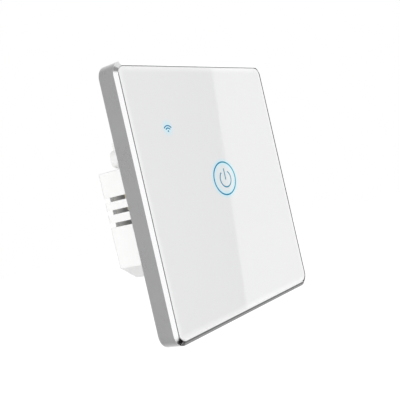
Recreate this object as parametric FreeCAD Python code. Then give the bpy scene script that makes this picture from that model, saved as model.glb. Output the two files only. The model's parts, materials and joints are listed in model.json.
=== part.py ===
import FreeCAD, Part
import math
import os

# Smart light switch, a square touch plate with its electronics in a case behind it.
# X runs to the right seen from the front, Y into the wall and Z up.
# The origin is the plate's centre on the wall plane. All lengths are millimetres.

# Plate and metal frame
plate_side = 86.0
plate_depth = 6.6
plate_corner_radius = 4.4
wall_gap = 0.2
bevel_width = 1.35
bevel_depth = 0.84
frame_wall = 1.4
ledge_width = 2.2
ledge_thickness = 1.0
notch_width = 10.0
notch_depth = 1.2

# Glass and the gasket behind it
glass_thickness = 2.0
glass_gap = 0.2
glass_edge_chamfer = 0.25
gasket_thickness = 0.3
gasket_inset = 0.4

# Carrier ring with its snap hooks
carrier_thickness = 1.2
carrier_gap = 0.2
carrier_corner_radius = 2.0
carrier_window_width = 60.0
carrier_window_height = 54.0
hook_width = 8.0
hook_spacing = 40.0
hook_thickness = 1.2
hook_barb = 0.9
hook_barb_flat = 0.2
hook_end_gap = 0.3
snap_clearance = 0.1
hook_side_gap = 0.3

# Base plate
base_gap = 0.8
base_corner_radius = 2.2
base_thickness = 1.2
seat_height = 0.6
seat_width = 1.0
catch_thickness = 0.6
catch_recess_width = 1.2
base_window_width = 34.0
base_window_height = 26.0
fixing_spacing = 60.3
fixing_slot_width = 4.2
fixing_slot_length = 7.0
fixing_pad_margin = 1.0
fixing_pad_gap = 0.3

# Rear case
case_width = 50.0
case_top = 23.35
case_bottom = 23.35
case_rear = 25.1
case_wall = 1.6
case_edge_radius = 0.8
case_notch_width = 10.0
case_notch_height = 9.85
case_chamfer_width = 6.9
case_chamfer_height = 4.65
vent_count = 3
vent_height = 1.5
vent_pitch = 4.25
vent_center_z = 0.05
vent_front = 1.5
vent_wrap = 3.2
locating_rib_height = 1.5
locating_rib_thickness = 0.9
rib_thickness = 2.0
rib_reach = 2.2
stop_low_rise = 12.25
stop_high_drop = 3.4

# Screws that hold the case, in a boss in each upper corner
boss_notch_reach = 5.84
boss_notch_rise = 3.6
boss_radius = 3.1
boss_end = 19.2
boss_bore_radius = 2.3
boss_floor_thickness = 4.6
pillar_radius = 2.2
pillar_height = 4.0
case_screw_radius = 1.25
case_screw_head_radius = 2.1
case_screw_head_height = 1.6
case_screw_grip = 3.4
screw_clearance = 0.1

# Hooks that hold the case at the bottom
tongue_x = 10.0
tongue_width = 6.0
tongue_thickness = 1.0
tongue_length = 5.6
tongue_barb = 1.0
tongue_barb_length = 1.4
tongue_gap = 0.15

# Touch board and what it carries
touch_board_width = 52.4
touch_board_height = 51.0
touch_board_thickness = 1.0
driver_clearance_radius = 4.4
board_screw_side_inset = 4.4
board_screw_bottom_inset = 4.25
board_screw_notch_inset = 4.8
board_screw_top_inset = 3.55
board_screw_radius = 0.95
board_screw_head_radius = 1.8
board_screw_head_height = 0.8
board_screw_length = 5.0
board_pillar_radius = 2.0
board_pillar_height = 3.4
ring_x = 1.4
ring_z = 2.9
ring_guide_radius = 7.2
ring_guide_groove_radius = 4.0
ring_guide_groove_width = 0.6
ring_guide_groove_depth = 0.9
guide_glass_gap = 0.1
wireless_x = -23.4
wireless_z = 21.4
wireless_guide_width = 5.0
wireless_guide_height = 4.0
led_length = 2.0
led_width = 1.25
led_height = 0.8
led_gap = 0.25
led_ring_radius = 5.7
led_ring_count = 4

# Conductive foam ring round the ring's light guide
foam_guide_gap = 0.5
foam_width = 1.6
foam_glass_gap = 0.05

# Parts on the back of the touch board
chip_length = 9.9
chip_width = 3.9
chip_height = 1.5
chip_lift = 0.1
chip_x = 9.0
chip_z = 5.0
chip_leg_count = 8
chip_leg_pitch = 1.27
chip_leg_width = 0.4
chip_leg_thickness = 0.2
chip_leg_reach = 1.05
module_width = 13.0
module_height = 20.0
module_thickness = 0.8
module_x = -8.0
module_z = 0.0
shield_width = 11.6
shield_height = 13.4
shield_depth = 2.2
shield_drop = 2.6
shield_corner_radius = 0.8
header_pins = 6
header_spacing = 2.54
header_x = 7.6
header_z = -8.4
header_body = 2.5
header_pin = 0.64
header_tail = 1.6
pin_end_gap = 0.3
socket_pin_clearance = 0.08
socket_gap = 0.3
socket_floor = 0.4

# Power board
power_board_front = 6.0
power_board_thickness = 1.6
board_edge_gap = 0.3
stop_post_inset = 4.7
stop_post_side = 2.6
lead_side = 0.7
lead_tail = 1.2
lead_clearance = 0.1

# Parts on the power board
top_row_inset = 5.95
top_row_side_gap = 0.8
top_row_gap = 0.6
relay_length = 19.0
relay_width = 15.2
relay_rear_gap = 0.6
relay_side_gap = 3.0
relay_z = 0.8
relay_corner_radius = 0.6
relay_lift = 0.3
relay_pin_inset = 2.0
core_length = 13.0
core_width = 6.0
core_height = 11.0
core_side_gap = 3.7
core_z = 2.6
core_leg = 3.0
core_yoke = 2.1
core_lift = 1.6
bobbin_wall = 0.5
bobbin_gap = 0.15
bobbin_flange = 0.6
bobbin_width = 11.8
bobbin_rail_length = 11.0
bobbin_rail_lift = 0.3
bobbin_pin_x = 4.0
winding_inset = 0.3
input_capacitor_radius = 4.0
input_capacitor_height = 13.0
output_capacitor_radius = 3.15
output_capacitor_height = 11.0
can_groove_depth = 0.35
can_lift = 0.3
varistor_radius = 4.6
varistor_thickness = 4.0
varistor_lift = 0.8
varistor_edge_chamfer = 0.8
varistor_pin_spacing = 5.0
fuse_radius = 1.8
fuse_length = 9.0
fuse_cap_length = 1.6
fuse_cap_step = 0.25
fuse_lead_reach = 1.0
fuse_lift = 0.3
fuse_side_gap = 5.9
fuse_block_gap = 1.1
rectifier_length = 4.8
rectifier_width = 4.1
rectifier_height = 2.4
rectifier_block_gap = 0.6
rectifier_drop = 1.6
rectifier_leg_width = 0.9
rectifier_leg_thickness = 0.3
rectifier_leg_reach = 0.8
rectifier_leg_spacing = 2.5
choke_radius = 2.6
choke_waist = 1.9
choke_length = 8.6
choke_side_gap = 2.2
choke_drop = 2.05
choke_flange = 1.2
choke_lift = 0.3
choke_pin_spacing = 3.0

# Terminal block with rising clamps
pole_count = 3
pole_pitch = 8.0
terminal_rear_recess = 0.3
terminal_bottom_recess = 0.3
terminal_end_wall = 1.5
terminal_floor = 2.0
terminal_roof = 1.2
terminal_cap = 4.0
terminal_cut_gap = 0.25
chamber_gap = 0.2
wire_hole_radius = 1.7
cage_width = 6.0
cage_side_wall = 0.9
cage_front_wall = 1.0
cage_rear_wall = 1.8
cage_length = 6.0
cage_drop = 0.65
cage_leg_gap = 0.65
cage_board_gap = 1.5
cage_close_gap = 0.6
cage_end_gap = 0.2
bar_thickness = 0.8
bar_width = 3.4
bar_cage_gap = 0.3
bar_roof_gap = 0.2
bar_tail_width = 1.5
bar_end_gap = 0.2
clamp_screw_radius = 1.5
clamp_screw_head_radius = 2.1
clamp_screw_head_height = 2.4
clamp_screw_shoulder = 0.6
clamp_screw_slot_width = 0.8
clamp_screw_slot_depth = 1.1
running_gap = 0.06
tip_gap = 0.05

# Levels along Y that follow from the sizes above
glass_front = -wall_gap - plate_depth
glass_back = glass_front + glass_thickness
gasket_back = glass_back + gasket_thickness
frame_rim = -wall_gap
carrier_back = gasket_back + carrier_thickness
base_back = -seat_height
base_front = base_back - base_thickness
touch_board_front = base_front - touch_board_thickness
power_board_back = power_board_front + power_board_thickness
case_inner_rear = case_rear - case_wall
terminal_rear = case_rear - terminal_rear_recess

# Half sizes that follow from the sizes above
plate_half = plate_side / 2
frame_inner_half = plate_half - frame_wall
ledge_half = frame_inner_half - ledge_width
glass_half = frame_inner_half - glass_gap
carrier_half = ledge_half - carrier_gap
base_half = frame_inner_half - base_gap
case_half = case_width / 2

# Places that follow from the case's outline
case_inner_half = case_half - case_wall
case_inner_top = case_top - case_wall
case_inner_bottom = case_wall - case_bottom
notch_x = case_half - case_notch_width
notch_z = case_top - case_notch_height
boss_x = notch_x + boss_notch_reach
boss_z = notch_z + boss_notch_rise
stop_post_x = case_half - stop_post_inset
stop_z = (case_inner_bottom + stop_low_rise, notch_z - case_wall - stop_high_drop)
top_row_z = case_inner_top - top_row_inset
top_row_half = notch_x - case_wall - top_row_side_gap
input_capacitor_x = input_capacitor_radius - top_row_half
output_capacitor_x = input_capacitor_x + input_capacitor_radius + top_row_gap + output_capacitor_radius
varistor_x = top_row_half - varistor_thickness / 2
terminal_bottom = case_bottom - terminal_bottom_recess

# The clamp cages, their travel and the terminal block round them
terminal_half = (pole_count - 1) * pole_pitch / 2 + cage_width / 2 + chamber_gap + terminal_end_wall
chamber_floor = terminal_floor - terminal_bottom
chamber_rear = terminal_rear - terminal_cap
head_seat = chamber_rear + clamp_screw_shoulder
cage_walls = cage_front_wall + cage_rear_wall
cage_grip = cage_close_gap + bar_thickness + bar_cage_gap
cage_room = chamber_rear - cage_end_gap - cage_board_gap - power_board_back
cage_lift = (cage_room - cage_walls - cage_grip) / 2
cage_front = power_board_back + cage_board_gap
cage_inner_front = cage_front + cage_front_wall
cage_inner_back = cage_inner_front + cage_lift + cage_grip
cage_back = cage_inner_back + cage_rear_wall
cage_low = chamber_floor + cage_drop
clamp_z = cage_low + cage_length / 2
bar_back = cage_inner_back - bar_cage_gap
bar_front = bar_back - bar_thickness
bar_leg_z = cage_low + cage_length + cage_leg_gap + bar_thickness / 2
chamber_roof = bar_leg_z + bar_thickness / 2 + bar_roof_gap
terminal_top = chamber_roof + terminal_roof
wire_y = (cage_inner_front + bar_front) / 2

# Where the parts on the power board stand
relay_x = case_inner_half - relay_side_gap - relay_length / 2
core_x = core_side_gap + core_length / 2 - case_inner_half
choke_x = case_inner_half - choke_side_gap - choke_radius
choke_z = terminal_top - choke_drop
fuse_x = fuse_side_gap + fuse_length / 2 + fuse_lead_reach - case_inner_half
fuse_z = terminal_top + fuse_block_gap + fuse_radius + fuse_cap_step
rectifier_x = -terminal_half - rectifier_block_gap - rectifier_leg_reach - rectifier_length / 2
rectifier_z = terminal_top - rectifier_drop - rectifier_width / 2


def point(x, y, z):
    return FreeCAD.Vector(x, y, z)


def box(x, y, z):
    """A block between the two ends given for each axis."""
    return Part.makeBox(x[1] - x[0], y[1] - y[0], z[1] - z[0], point(x[0], y[0], z[0]))


def box_at(x, z, width, height, y):
    """A block centred on x and z, between the two levels y."""
    return box((x - width / 2, x + width / 2), y, (z - height / 2, z + height / 2))


def rod(x, z, radius, y):
    """A round bar along Y, between the two levels y."""
    return Part.makeCylinder(radius, y[1] - y[0], point(x, y[0], z), point(0, 1, 0))


def joined(shapes):
    """The shapes as one solid, with no seams between flush faces."""
    whole = shapes[0].fuse(shapes[1:]) if len(shapes) > 1 else shapes[0]
    return whole.removeSplitter()


def cut_by(shape, tools):
    """The shape less all the tools."""
    return shape.cut(Part.makeCompound(tools)) if tools else shape


def both_sides(make):
    """What make gives for the left side and the right side."""
    return [make(side) for side in (-1, 1)]


def all_round(shape):
    """Four copies of a shape, one for each side of the square plate."""
    copies = []
    for quarter in range(4):
        copy = shape.copy()
        copy.rotate(point(0, 0, 0), point(0, 1, 0), 90 * quarter)
        copies.append(copy)
    return copies


def rounded_wire(half_x, half_z, radius, y):
    """A rectangle with round corners, square to Y."""
    bulge = radius * math.sqrt(0.5)
    arcs = []
    for side_x, side_z in ((1, 1), (-1, 1), (-1, -1), (1, -1)):
        center_x = side_x * (half_x - radius)
        center_z = side_z * (half_z - radius)
        on_side = point(side_x * half_x, y, center_z)
        on_top = point(center_x, y, side_z * half_z)
        middle = point(center_x + side_x * bulge, y, center_z + side_z * bulge)
        ends = (on_side, on_top) if side_x == side_z else (on_top, on_side)
        arcs.append((ends[0], middle, ends[1]))
    edges = []
    for number, (first, middle, last) in enumerate(arcs):
        edges.append(Part.Arc(first, middle, last).toShape())
        start_of_next = arcs[(number + 1) % 4][0]
        edges.append(Part.LineSegment(last, start_of_next).toShape())
    return Part.Wire(edges)


def rounded_plate(half_x, half_z, radius, y):
    """A flat rectangular plate with round corners, between the two levels y."""
    outline = Part.Face(rounded_wire(half_x, half_z, radius, y[0]))
    return outline.extrude(point(0, y[1] - y[0], 0))


def slot_cutter(x, z, length, width, y):
    """A cutter for a round-ended slot along X."""
    reach = (length - width) / 2
    ends = [rod(x + side * reach, z, width / 2, y) for side in (-1, 1)]
    return joined([box_at(x, z, 2 * reach, width, y)] + ends)


def bezel_frame():
    """The metal frame: a bevelled front, a straight wall and a ledge behind the glass."""
    shoulder = glass_front + bevel_depth
    front_half = plate_half - bevel_width
    front_radius = plate_corner_radius - bevel_width
    wall = rounded_plate(plate_half, plate_half, plate_corner_radius, (shoulder, frame_rim))
    bevel = Part.makeLoft(
        [
            rounded_wire(plate_half, plate_half, plate_corner_radius, shoulder),
            rounded_wire(front_half, front_half, front_radius, glass_front),
        ],
        True,
        True,
    )
    inner_radius = plate_corner_radius - frame_wall
    hollow_y = (glass_front, frame_rim)
    hollow = rounded_plate(frame_inner_half, frame_inner_half, inner_radius, hollow_y)
    ledge_y = (gasket_back, gasket_back + ledge_thickness)
    ledge = rounded_plate(frame_inner_half, frame_inner_half, inner_radius, ledge_y)
    opening = rounded_plate(ledge_half, ledge_half, carrier_corner_radius, ledge_y)
    notch_y = (frame_rim - notch_depth, frame_rim)
    notch = box_at(0, frame_wall / 2 - plate_half, notch_width, frame_wall, notch_y)
    shell = joined([wall, bevel]).cut(hollow)
    return joined([shell, ledge.cut(opening)]).cut(notch)


def glass_panel():
    """The glass front with its edges taken off."""
    radius = plate_corner_radius - frame_wall - glass_gap
    glass = rounded_plate(glass_half, glass_half, radius, (glass_front, glass_back))
    front_edges = [edge for edge in glass.Edges if edge.BoundBox.YMax < glass_front + glass_edge_chamfer]
    return glass.makeChamfer(glass_edge_chamfer, front_edges)


def glass_adhesive():
    """The ring of double-sided tape between the glass, the frame's ledge and the carrier."""
    outer = glass_half - gasket_inset
    y = (glass_back, gasket_back)
    ring = rounded_plate(outer, outer, carrier_corner_radius, y)
    window = rounded_plate(carrier_window_width / 2, carrier_window_height / 2, carrier_corner_radius, y)
    return ring.cut(window)


def hook_at(offset):
    """One snap hook of the carrier on its right side, its barb pointing inwards."""
    outer = carrier_half
    inner = carrier_half - hook_thickness
    end = -hook_end_gap
    catch = base_front + catch_thickness + snap_clearance
    low = offset - hook_width / 2
    profile = [
        (outer, gasket_back),
        (outer, end),
        (inner, end),
        (inner - hook_barb, catch + hook_barb_flat),
        (inner - hook_barb, catch),
        (inner, catch),
        (inner, gasket_back),
    ]
    points = [point(x, y, low) for x, y in profile]
    return Part.Face(Part.makePolygon(points + points[:1])).extrude(point(0, 0, hook_width))


def panel_carrier():
    """The plastic ring glued behind the glass, with two snap hooks on each side."""
    y = (gasket_back, carrier_back)
    ring = rounded_plate(carrier_half, carrier_half, carrier_corner_radius, y)
    window = rounded_plate(carrier_window_width / 2, carrier_window_height / 2, carrier_corner_radius, y)
    hooks = []
    for side in (-1, 1):
        hooks += all_round(hook_at(side * hook_spacing / 2))
    return joined([ring.cut(window)] + hooks)


def hook_window(offset):
    """The cutters for one snap window on the base plate's right side."""
    tip = carrier_half - hook_thickness - hook_barb
    inner = tip - snap_clearance
    outer = carrier_half + hook_side_gap
    width = hook_width + 2 * hook_side_gap
    through = box((inner, outer), (base_front, base_back), (offset - width / 2, offset + width / 2))
    recess_x = (inner - catch_recess_width, inner)
    recess_y = (base_front + catch_thickness, base_back)
    recess = box(recess_x, recess_y, (offset - width / 2, offset + width / 2))
    return joined([through, recess])


def base_plate():
    """The moulded plate screwed to the wall box, with its rim, posts, pillars and tongues."""
    sheet = rounded_plate(base_half, base_half, base_corner_radius, (base_front, base_back))
    rim_y = (base_back, 0)
    rim_half = base_half - seat_width
    rim = rounded_plate(base_half, base_half, base_corner_radius, rim_y)
    rim = rim.cut(rounded_plate(rim_half, rim_half, base_corner_radius - seat_width, rim_y))
    rib_y = (base_back, base_back + locating_rib_height)
    rib_inset = case_wall + tongue_gap
    rib = case_prism(rib_inset, rib_y).cut(case_prism(rib_inset + locating_rib_thickness, rib_y))
    solids = [sheet, rim, rib]
    cutters = [box_at(0, 0, base_window_width, base_window_height, (base_front, base_back))]
    for side in (-1, 1):
        fixing_x = side * fixing_spacing / 2
        pad_length = fixing_slot_length + 2 * fixing_pad_margin
        pad_width = fixing_slot_width + 2 * fixing_pad_margin
        pad = slot_cutter(fixing_x, 0, pad_length, pad_width, rim_y)
        solids.append(pad.cut(case_prism(-fixing_pad_gap, rim_y)))
        cutters.append(slot_cutter(fixing_x, 0, fixing_slot_length, fixing_slot_width, (base_front, 0)))
        pillar_y = (base_back, base_back + pillar_height)
        solids.append(rod(side * boss_x, boss_z, pillar_radius, pillar_y))
        cutters.append(rod(side * boss_x, boss_z, case_screw_radius + screw_clearance, pillar_y))
        for z in stop_z:
            post_y = (base_back, power_board_front)
            solids.append(box_at(side * stop_post_x, z, stop_post_side, stop_post_side, post_y))
        cutters += all_round(hook_window(side * hook_spacing / 2))
        solids += case_tongue(side)
    for x, z in board_screw_places():
        solids.append(rod(x, z, board_pillar_radius, (base_back, base_back + board_pillar_height)))
        bore_y = (base_front, base_back + board_pillar_height)
        cutters.append(rod(x, z, board_screw_radius + screw_clearance, bore_y))
    return cut_by(joined(solids), cutters)


def case_tongue(side):
    """The base plate's hook inside the case's bottom wall, in two flush solids."""
    low = case_inner_bottom + tongue_gap
    x = (side * tongue_x - tongue_width / 2, side * tongue_x + tongue_width / 2)
    end = base_back + tongue_length
    arm = box(x, (base_back, end), (low, low + tongue_thickness))
    barb = box(x, (end - tongue_barb_length, end), (low - tongue_barb, low))
    return [arm, barb]


def board_screw_places():
    """Where the touch board is screwed down, at two opposite corners."""
    low_x = board_screw_side_inset - case_inner_half
    low_z = case_inner_bottom + board_screw_bottom_inset
    high_x = notch_x - case_wall - board_screw_notch_inset
    high_z = case_inner_top - board_screw_top_inset
    return [(low_x, low_z), (high_x, high_z)]


def case_prism(inset, y):
    """The rear case's outline drawn in by inset, as a solid between the two levels y."""
    right = [
        (case_half - case_chamfer_width, -case_bottom),
        (case_half, case_chamfer_height - case_bottom),
        (case_half, notch_z),
        (notch_x, notch_z),
        (notch_x, case_top),
    ]
    left = [(-x, z) for x, z in reversed(right)]
    points = [point(x, y[0], z) for x, z in right + left]
    outline = Part.makePolygon(points + points[:1])
    if inset != 0:
        outline = outline.makeOffset2D(-inset, join=2)
    return Part.Face(outline).extrude(point(0, y[1] - y[0], 0))


def vent_cutters():
    """The slots in both side walls, which wrap round the rear corner."""
    cutters = []
    for number in range(vent_count):
        z = vent_center_z + (number - (vent_count - 1) / 2) * vent_pitch
        for side in (-1, 1):
            center_x = side * (case_half - vent_wrap / 2)
            cutters.append(box_at(center_x, z, vent_wrap, vent_height, (vent_front, case_rear)))
    return cutters


def tongue_window(side):
    """The window in the case's bottom wall that a tongue's barb sits in."""
    end = base_back + tongue_length
    y = (end - tongue_barb_length - snap_clearance, end + snap_clearance)
    width = tongue_width + 2 * snap_clearance
    return box_at(side * tongue_x, case_wall / 2 - case_bottom, width, case_wall, y)


def rear_housing():
    """The moulded case: one open shell with vents, screw bosses, board ribs and a terminal cut-out."""
    shell = case_prism(0, (base_back, case_rear))
    rear_edges = [edge for edge in shell.Edges if edge.BoundBox.YMin > case_rear - case_edge_radius]
    shell = shell.makeFillet(case_edge_radius, rear_edges)
    shell = shell.cut(case_prism(case_wall, (base_back, case_inner_rear)))
    boss_start = base_back + pillar_height
    solids = [shell]
    cutters = vent_cutters()
    for side in (-1, 1):
        x = side * boss_x
        solids.append(rod(x, boss_z, boss_radius, (boss_start, boss_end)))
        web_z = (notch_z + boss_z) / 2
        solids.append(box_at(x, web_z, case_wall, boss_z - notch_z, (boss_start, boss_end)))
        floor_end = boss_start + boss_floor_thickness
        cutters.append(rod(x, boss_z, boss_bore_radius, (floor_end, boss_end)))
        cutters.append(rod(x, boss_z, case_screw_radius + screw_clearance, (boss_start, floor_end)))
        cutters.append(tongue_window(side))
        for z in stop_z:
            rib_x = side * (case_half - case_wall - rib_reach / 2)
            solids.append(box_at(rib_x, z, rib_reach, rib_thickness, (power_board_back, case_inner_rear)))
    cut_half = terminal_half + terminal_cut_gap
    cut_y = (power_board_back - terminal_cut_gap, case_rear)
    cutters.append(box((-cut_half, cut_half), cut_y, (-case_bottom, terminal_top + terminal_cut_gap)))
    return cut_by(joined(solids), cutters)


def screw(x, z, sizes, head_y, tip_y):
    """A screw along Y driven from the side that head_y points away to."""
    radius, head_radius, head_height = sizes
    away = 1 if head_y > tip_y else -1
    head_end = head_y + away * head_height
    shank = rod(x, z, radius, (min(head_y, tip_y), max(head_y, tip_y)))
    head = rod(x, z, head_radius, (min(head_y, head_end), max(head_y, head_end)))
    return joined([shank, head])


def housing_screws():
    """Two long screws that pull the case onto the base plate's pillars."""
    head_y = base_back + pillar_height + boss_floor_thickness
    tip_y = base_back + pillar_height - case_screw_grip
    sizes = (case_screw_radius, case_screw_head_radius, case_screw_head_height)
    return Part.makeCompound(both_sides(lambda side: screw(side * boss_x, boss_z, sizes, head_y, tip_y)))


def board_screws():
    """Two small screws that hold the touch board on the base plate."""
    tip_y = touch_board_front + board_screw_length
    sizes = (board_screw_radius, board_screw_head_radius, board_screw_head_height)
    return Part.makeCompound([screw(x, z, sizes, touch_board_front, tip_y) for x, z in board_screw_places()])


def touch_board():
    """The board behind the glass, notched for a screwdriver at both fixing slots."""
    y = (touch_board_front, base_front)
    board = box_at(0, 0, touch_board_width, touch_board_height, y)
    cutters = [rod(side * fixing_spacing / 2, 0, driver_clearance_radius, y) for side in (-1, 1)]
    for x, z in board_screw_places():
        cutters.append(rod(x, z, board_screw_radius + screw_clearance, y))
    hole = header_pin + 2 * lead_clearance
    cutters += [box_at(x, header_z, hole, hole, y) for x in header_places()]
    return cut_by(board, cutters)


def led_places(extra):
    """A block round each lamp on the touch board, larger than the lamp by extra all round."""
    length = led_length + 2 * extra
    width = led_width + 2 * extra
    y = (touch_board_front - led_height - extra, touch_board_front)
    blocks = [box_at(ring_x, ring_z, length, width, y)]
    for number in range(led_ring_count):
        lamp = box_at(ring_x + led_ring_radius, ring_z, width, length, y)
        lamp.rotate(point(ring_x, 0, ring_z), point(0, 1, 0), 360 / led_ring_count * number)
        blocks.append(lamp)
    blocks.append(box_at(wireless_x, wireless_z, length, width, y))
    return blocks


def indicator_leds():
    """The lamps: one behind the power sign, four behind its ring and one behind the wireless sign."""
    return Part.makeCompound(led_places(0))


def ring_light_guide():
    """The clear disc that spreads the lamps' light, grooved between ring and power sign."""
    y = (glass_back + guide_glass_gap, touch_board_front)
    disc = rod(ring_x, ring_z, ring_guide_radius, y)
    groove_y = (y[0], y[0] + ring_guide_groove_depth)
    groove = rod(ring_x, ring_z, ring_guide_groove_radius + ring_guide_groove_width, groove_y)
    groove = groove.cut(rod(ring_x, ring_z, ring_guide_groove_radius, groove_y))
    return cut_by(disc, [groove] + led_places(led_gap)[:-1])


def wireless_light_guide():
    """The small clear block behind the wireless sign."""
    y = (glass_back + guide_glass_gap, touch_board_front)
    block = box_at(wireless_x, wireless_z, wireless_guide_width, wireless_guide_height, y)
    return block.cut(led_places(led_gap)[-1])


def touch_contact():
    """The conductive foam ring that carries the finger's touch from the glass to the board."""
    y = (glass_back + foam_glass_gap, touch_board_front)
    inner = ring_guide_radius + foam_guide_gap
    ring = rod(ring_x, ring_z, inner + foam_width, y)
    return ring.cut(rod(ring_x, ring_z, inner, y))


def touch_controller_chip():
    """The touch controller, a flat package with gull legs on its two long sides."""
    foot = base_front
    body_y = (foot + chip_lift, foot + chip_lift + chip_height)
    solids = [box_at(chip_x, chip_z, chip_length, chip_width, body_y)]
    for number in range(chip_leg_count):
        x = chip_x + (number - (chip_leg_count - 1) / 2) * chip_leg_pitch
        for side in (-1, 1):
            edge = chip_z + side * chip_width / 2
            end = edge + side * chip_leg_reach
            middle = edge + side * (chip_leg_reach - chip_leg_thickness) / 2
            shoulder = foot + chip_lift + chip_height / 2
            flat = abs(chip_leg_reach - chip_leg_thickness)
            y = (shoulder, shoulder + chip_leg_thickness)
            solids.append(box_at(x, middle, chip_leg_width, flat, y))
            leg_z = end - side * chip_leg_thickness / 2
            solids.append(box_at(x, leg_z, chip_leg_width, chip_leg_thickness, (foot, y[1])))
    return joined(solids)


def radio_module():
    """The radio module's small board, soldered flat on the touch board."""
    y = (base_front, base_front + module_thickness)
    return box_at(module_x, module_z, module_width, module_height, y)


def radio_shield():
    """The pressed metal can over the radio, with round corners."""
    foot = base_front + module_thickness
    z = module_z - (module_height - shield_height) / 2 + shield_drop - module_thickness
    can = box_at(module_x, z, shield_width, shield_height, (foot, foot + shield_depth))
    corners = [edge for edge in can.Edges if edge.BoundBox.YLength > shield_depth / 2]
    return can.makeFillet(shield_corner_radius, corners)


def header_places():
    """Where the header's pins stand, in X."""
    return [header_x + (number - (header_pins - 1) / 2) * header_spacing for number in range(header_pins)]


def board_header():
    """The pin header behind the touch board."""
    body_end = base_front + header_body
    length = header_pins * header_spacing
    solids = [box_at(header_x, header_z, length, header_body, (base_front, body_end))]
    pin_y = (base_front - header_tail, power_board_front - socket_floor - pin_end_gap)
    solids += [box_at(x, header_z, header_pin, header_pin, pin_y) for x in header_places()]
    return joined(solids)


def header_socket():
    """The socket on the power board that the header plugs into."""
    start = base_front + header_body + socket_gap
    length = header_pins * header_spacing
    body = box_at(header_x, header_z, length, header_body, (start, power_board_front))
    hole = header_pin + 2 * socket_pin_clearance
    hole_y = (start, power_board_front - socket_floor)
    body = cut_by(body, [box_at(x, header_z, hole, hole, hole_y) for x in header_places()])
    tail_y = (power_board_front, power_board_back + lead_tail)
    return joined([body] + [box_at(x, header_z, lead_side, lead_side, tail_y) for x in header_places()])


def relay_pins():
    """Where the relay's pins go through the board: two for its coil, three for its contacts."""
    near = relay_x - relay_length / 2 + relay_pin_inset
    far = relay_x + relay_length / 2 - relay_pin_inset
    reach = relay_width / 2 - relay_pin_inset
    coil = [(far, relay_z - reach), (far, relay_z + reach)]
    contacts = [(near, relay_z - reach), (near, relay_z), (near, relay_z + reach)]
    return coil + contacts


def bobbin_pins():
    """Where the transformer's pins go through the board."""
    reach = (bobbin_width + core_width) / 4
    return [(core_x + side * bobbin_pin_x, core_z + end * reach) for side in (-1, 1) for end in (-1, 1)]


def pair(x, z, spacing, along_x=True):
    """Two places side by side, about one point."""
    if along_x:
        return [(x + side * spacing / 2, z) for side in (-1, 1)]
    return [(x, z + side * spacing / 2) for side in (-1, 1)]


def fuse_pins():
    """Where the fuse's bent wires go through the board."""
    return pair(fuse_x, fuse_z, fuse_length + 2 * fuse_lead_reach)


def leads(places, top):
    """Square pins from the level top through the board, to be soldered in front of it."""
    y = (power_board_front - lead_tail, top)
    return [box_at(x, z, lead_side, lead_side, y) for x, z in places]


def lead_places():
    """Every place where a pin goes through the power board."""
    return (
        relay_pins()
        + bobbin_pins()
        + fuse_pins()
        + pair(input_capacitor_x, top_row_z, input_capacitor_radius)
        + pair(output_capacitor_x, top_row_z, output_capacitor_radius)
        + pair(varistor_x, top_row_z, varistor_pin_spacing, False)
        + pair(choke_x, choke_z, choke_pin_spacing)
        + [(x, header_z) for x in header_places()]
    )


def power_board():
    """The mains board, cut to the case's inner outline."""
    y = (power_board_front, power_board_back)
    board = case_prism(case_wall + board_edge_gap, y)
    hole = lead_side + 2 * lead_clearance
    cutters = [box_at(x, z, hole, hole, y) for x, z in lead_places()]
    for x in pole_places():
        width = bar_tail_width + 2 * lead_clearance
        height = bar_thickness + 2 * lead_clearance
        cutters.append(box_at(x, bar_leg_z, width, height, y))
    return cut_by(board, cutters)


def relay():
    """The sealed relay that switches the light."""
    start = power_board_back + relay_lift
    end = case_inner_rear - relay_rear_gap
    body = box_at(relay_x, relay_z, relay_length, relay_width, (start, end))
    corners = [edge for edge in body.Edges if edge.BoundBox.YLength > (end - start) / 2]
    body = body.makeFillet(relay_corner_radius, corners)
    return joined([body] + leads(relay_pins(), start))


def transformer_core():
    """The ferrite core: a closed frame with a leg through its middle."""
    start = power_board_back + core_lift
    body = box_at(core_x, core_z, core_length, core_width, (start, start + core_height))
    window_y = (start + core_yoke, start + core_height - core_yoke)
    window_width = (core_length - core_leg) / 2 - core_yoke
    windows = []
    for side in (-1, 1):
        x = core_x + side * (core_leg + window_width) / 2
        windows.append(box_at(x, core_z, window_width, core_width, window_y))
    return cut_by(body, windows)


def transformer_bobbin():
    """The bobbin: a tube on the core's leg, two flanges, and a rail of pins at each end."""
    start = power_board_back + core_lift + core_yoke
    end = start + core_height - 2 * core_yoke
    hole = (core_leg + 2 * bobbin_gap, core_width + 2 * bobbin_gap)
    tube = (hole[0] + 2 * bobbin_wall, hole[1] + 2 * bobbin_wall)
    flange_width = core_length - 2 * core_yoke - 2 * bobbin_gap
    levels = (start + bobbin_gap, end - bobbin_gap)
    solids = [box_at(core_x, core_z, tube[0], tube[1], levels)]
    for low in (levels[0], levels[1] - bobbin_flange):
        solids.append(box_at(core_x, core_z, flange_width, bobbin_width, (low, low + bobbin_flange)))
    rail_start = power_board_back + bobbin_rail_lift
    rail_width = (bobbin_width - core_width) / 2 - bobbin_gap
    for side in (-1, 1):
        z = core_z + side * (bobbin_width - rail_width) / 2
        solids.append(box_at(core_x, z, bobbin_rail_length, rail_width, (rail_start, levels[0])))
    body = joined(solids).cut(box_at(core_x, core_z, hole[0], hole[1], levels))
    return joined([body] + leads(bobbin_pins(), rail_start))


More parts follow.
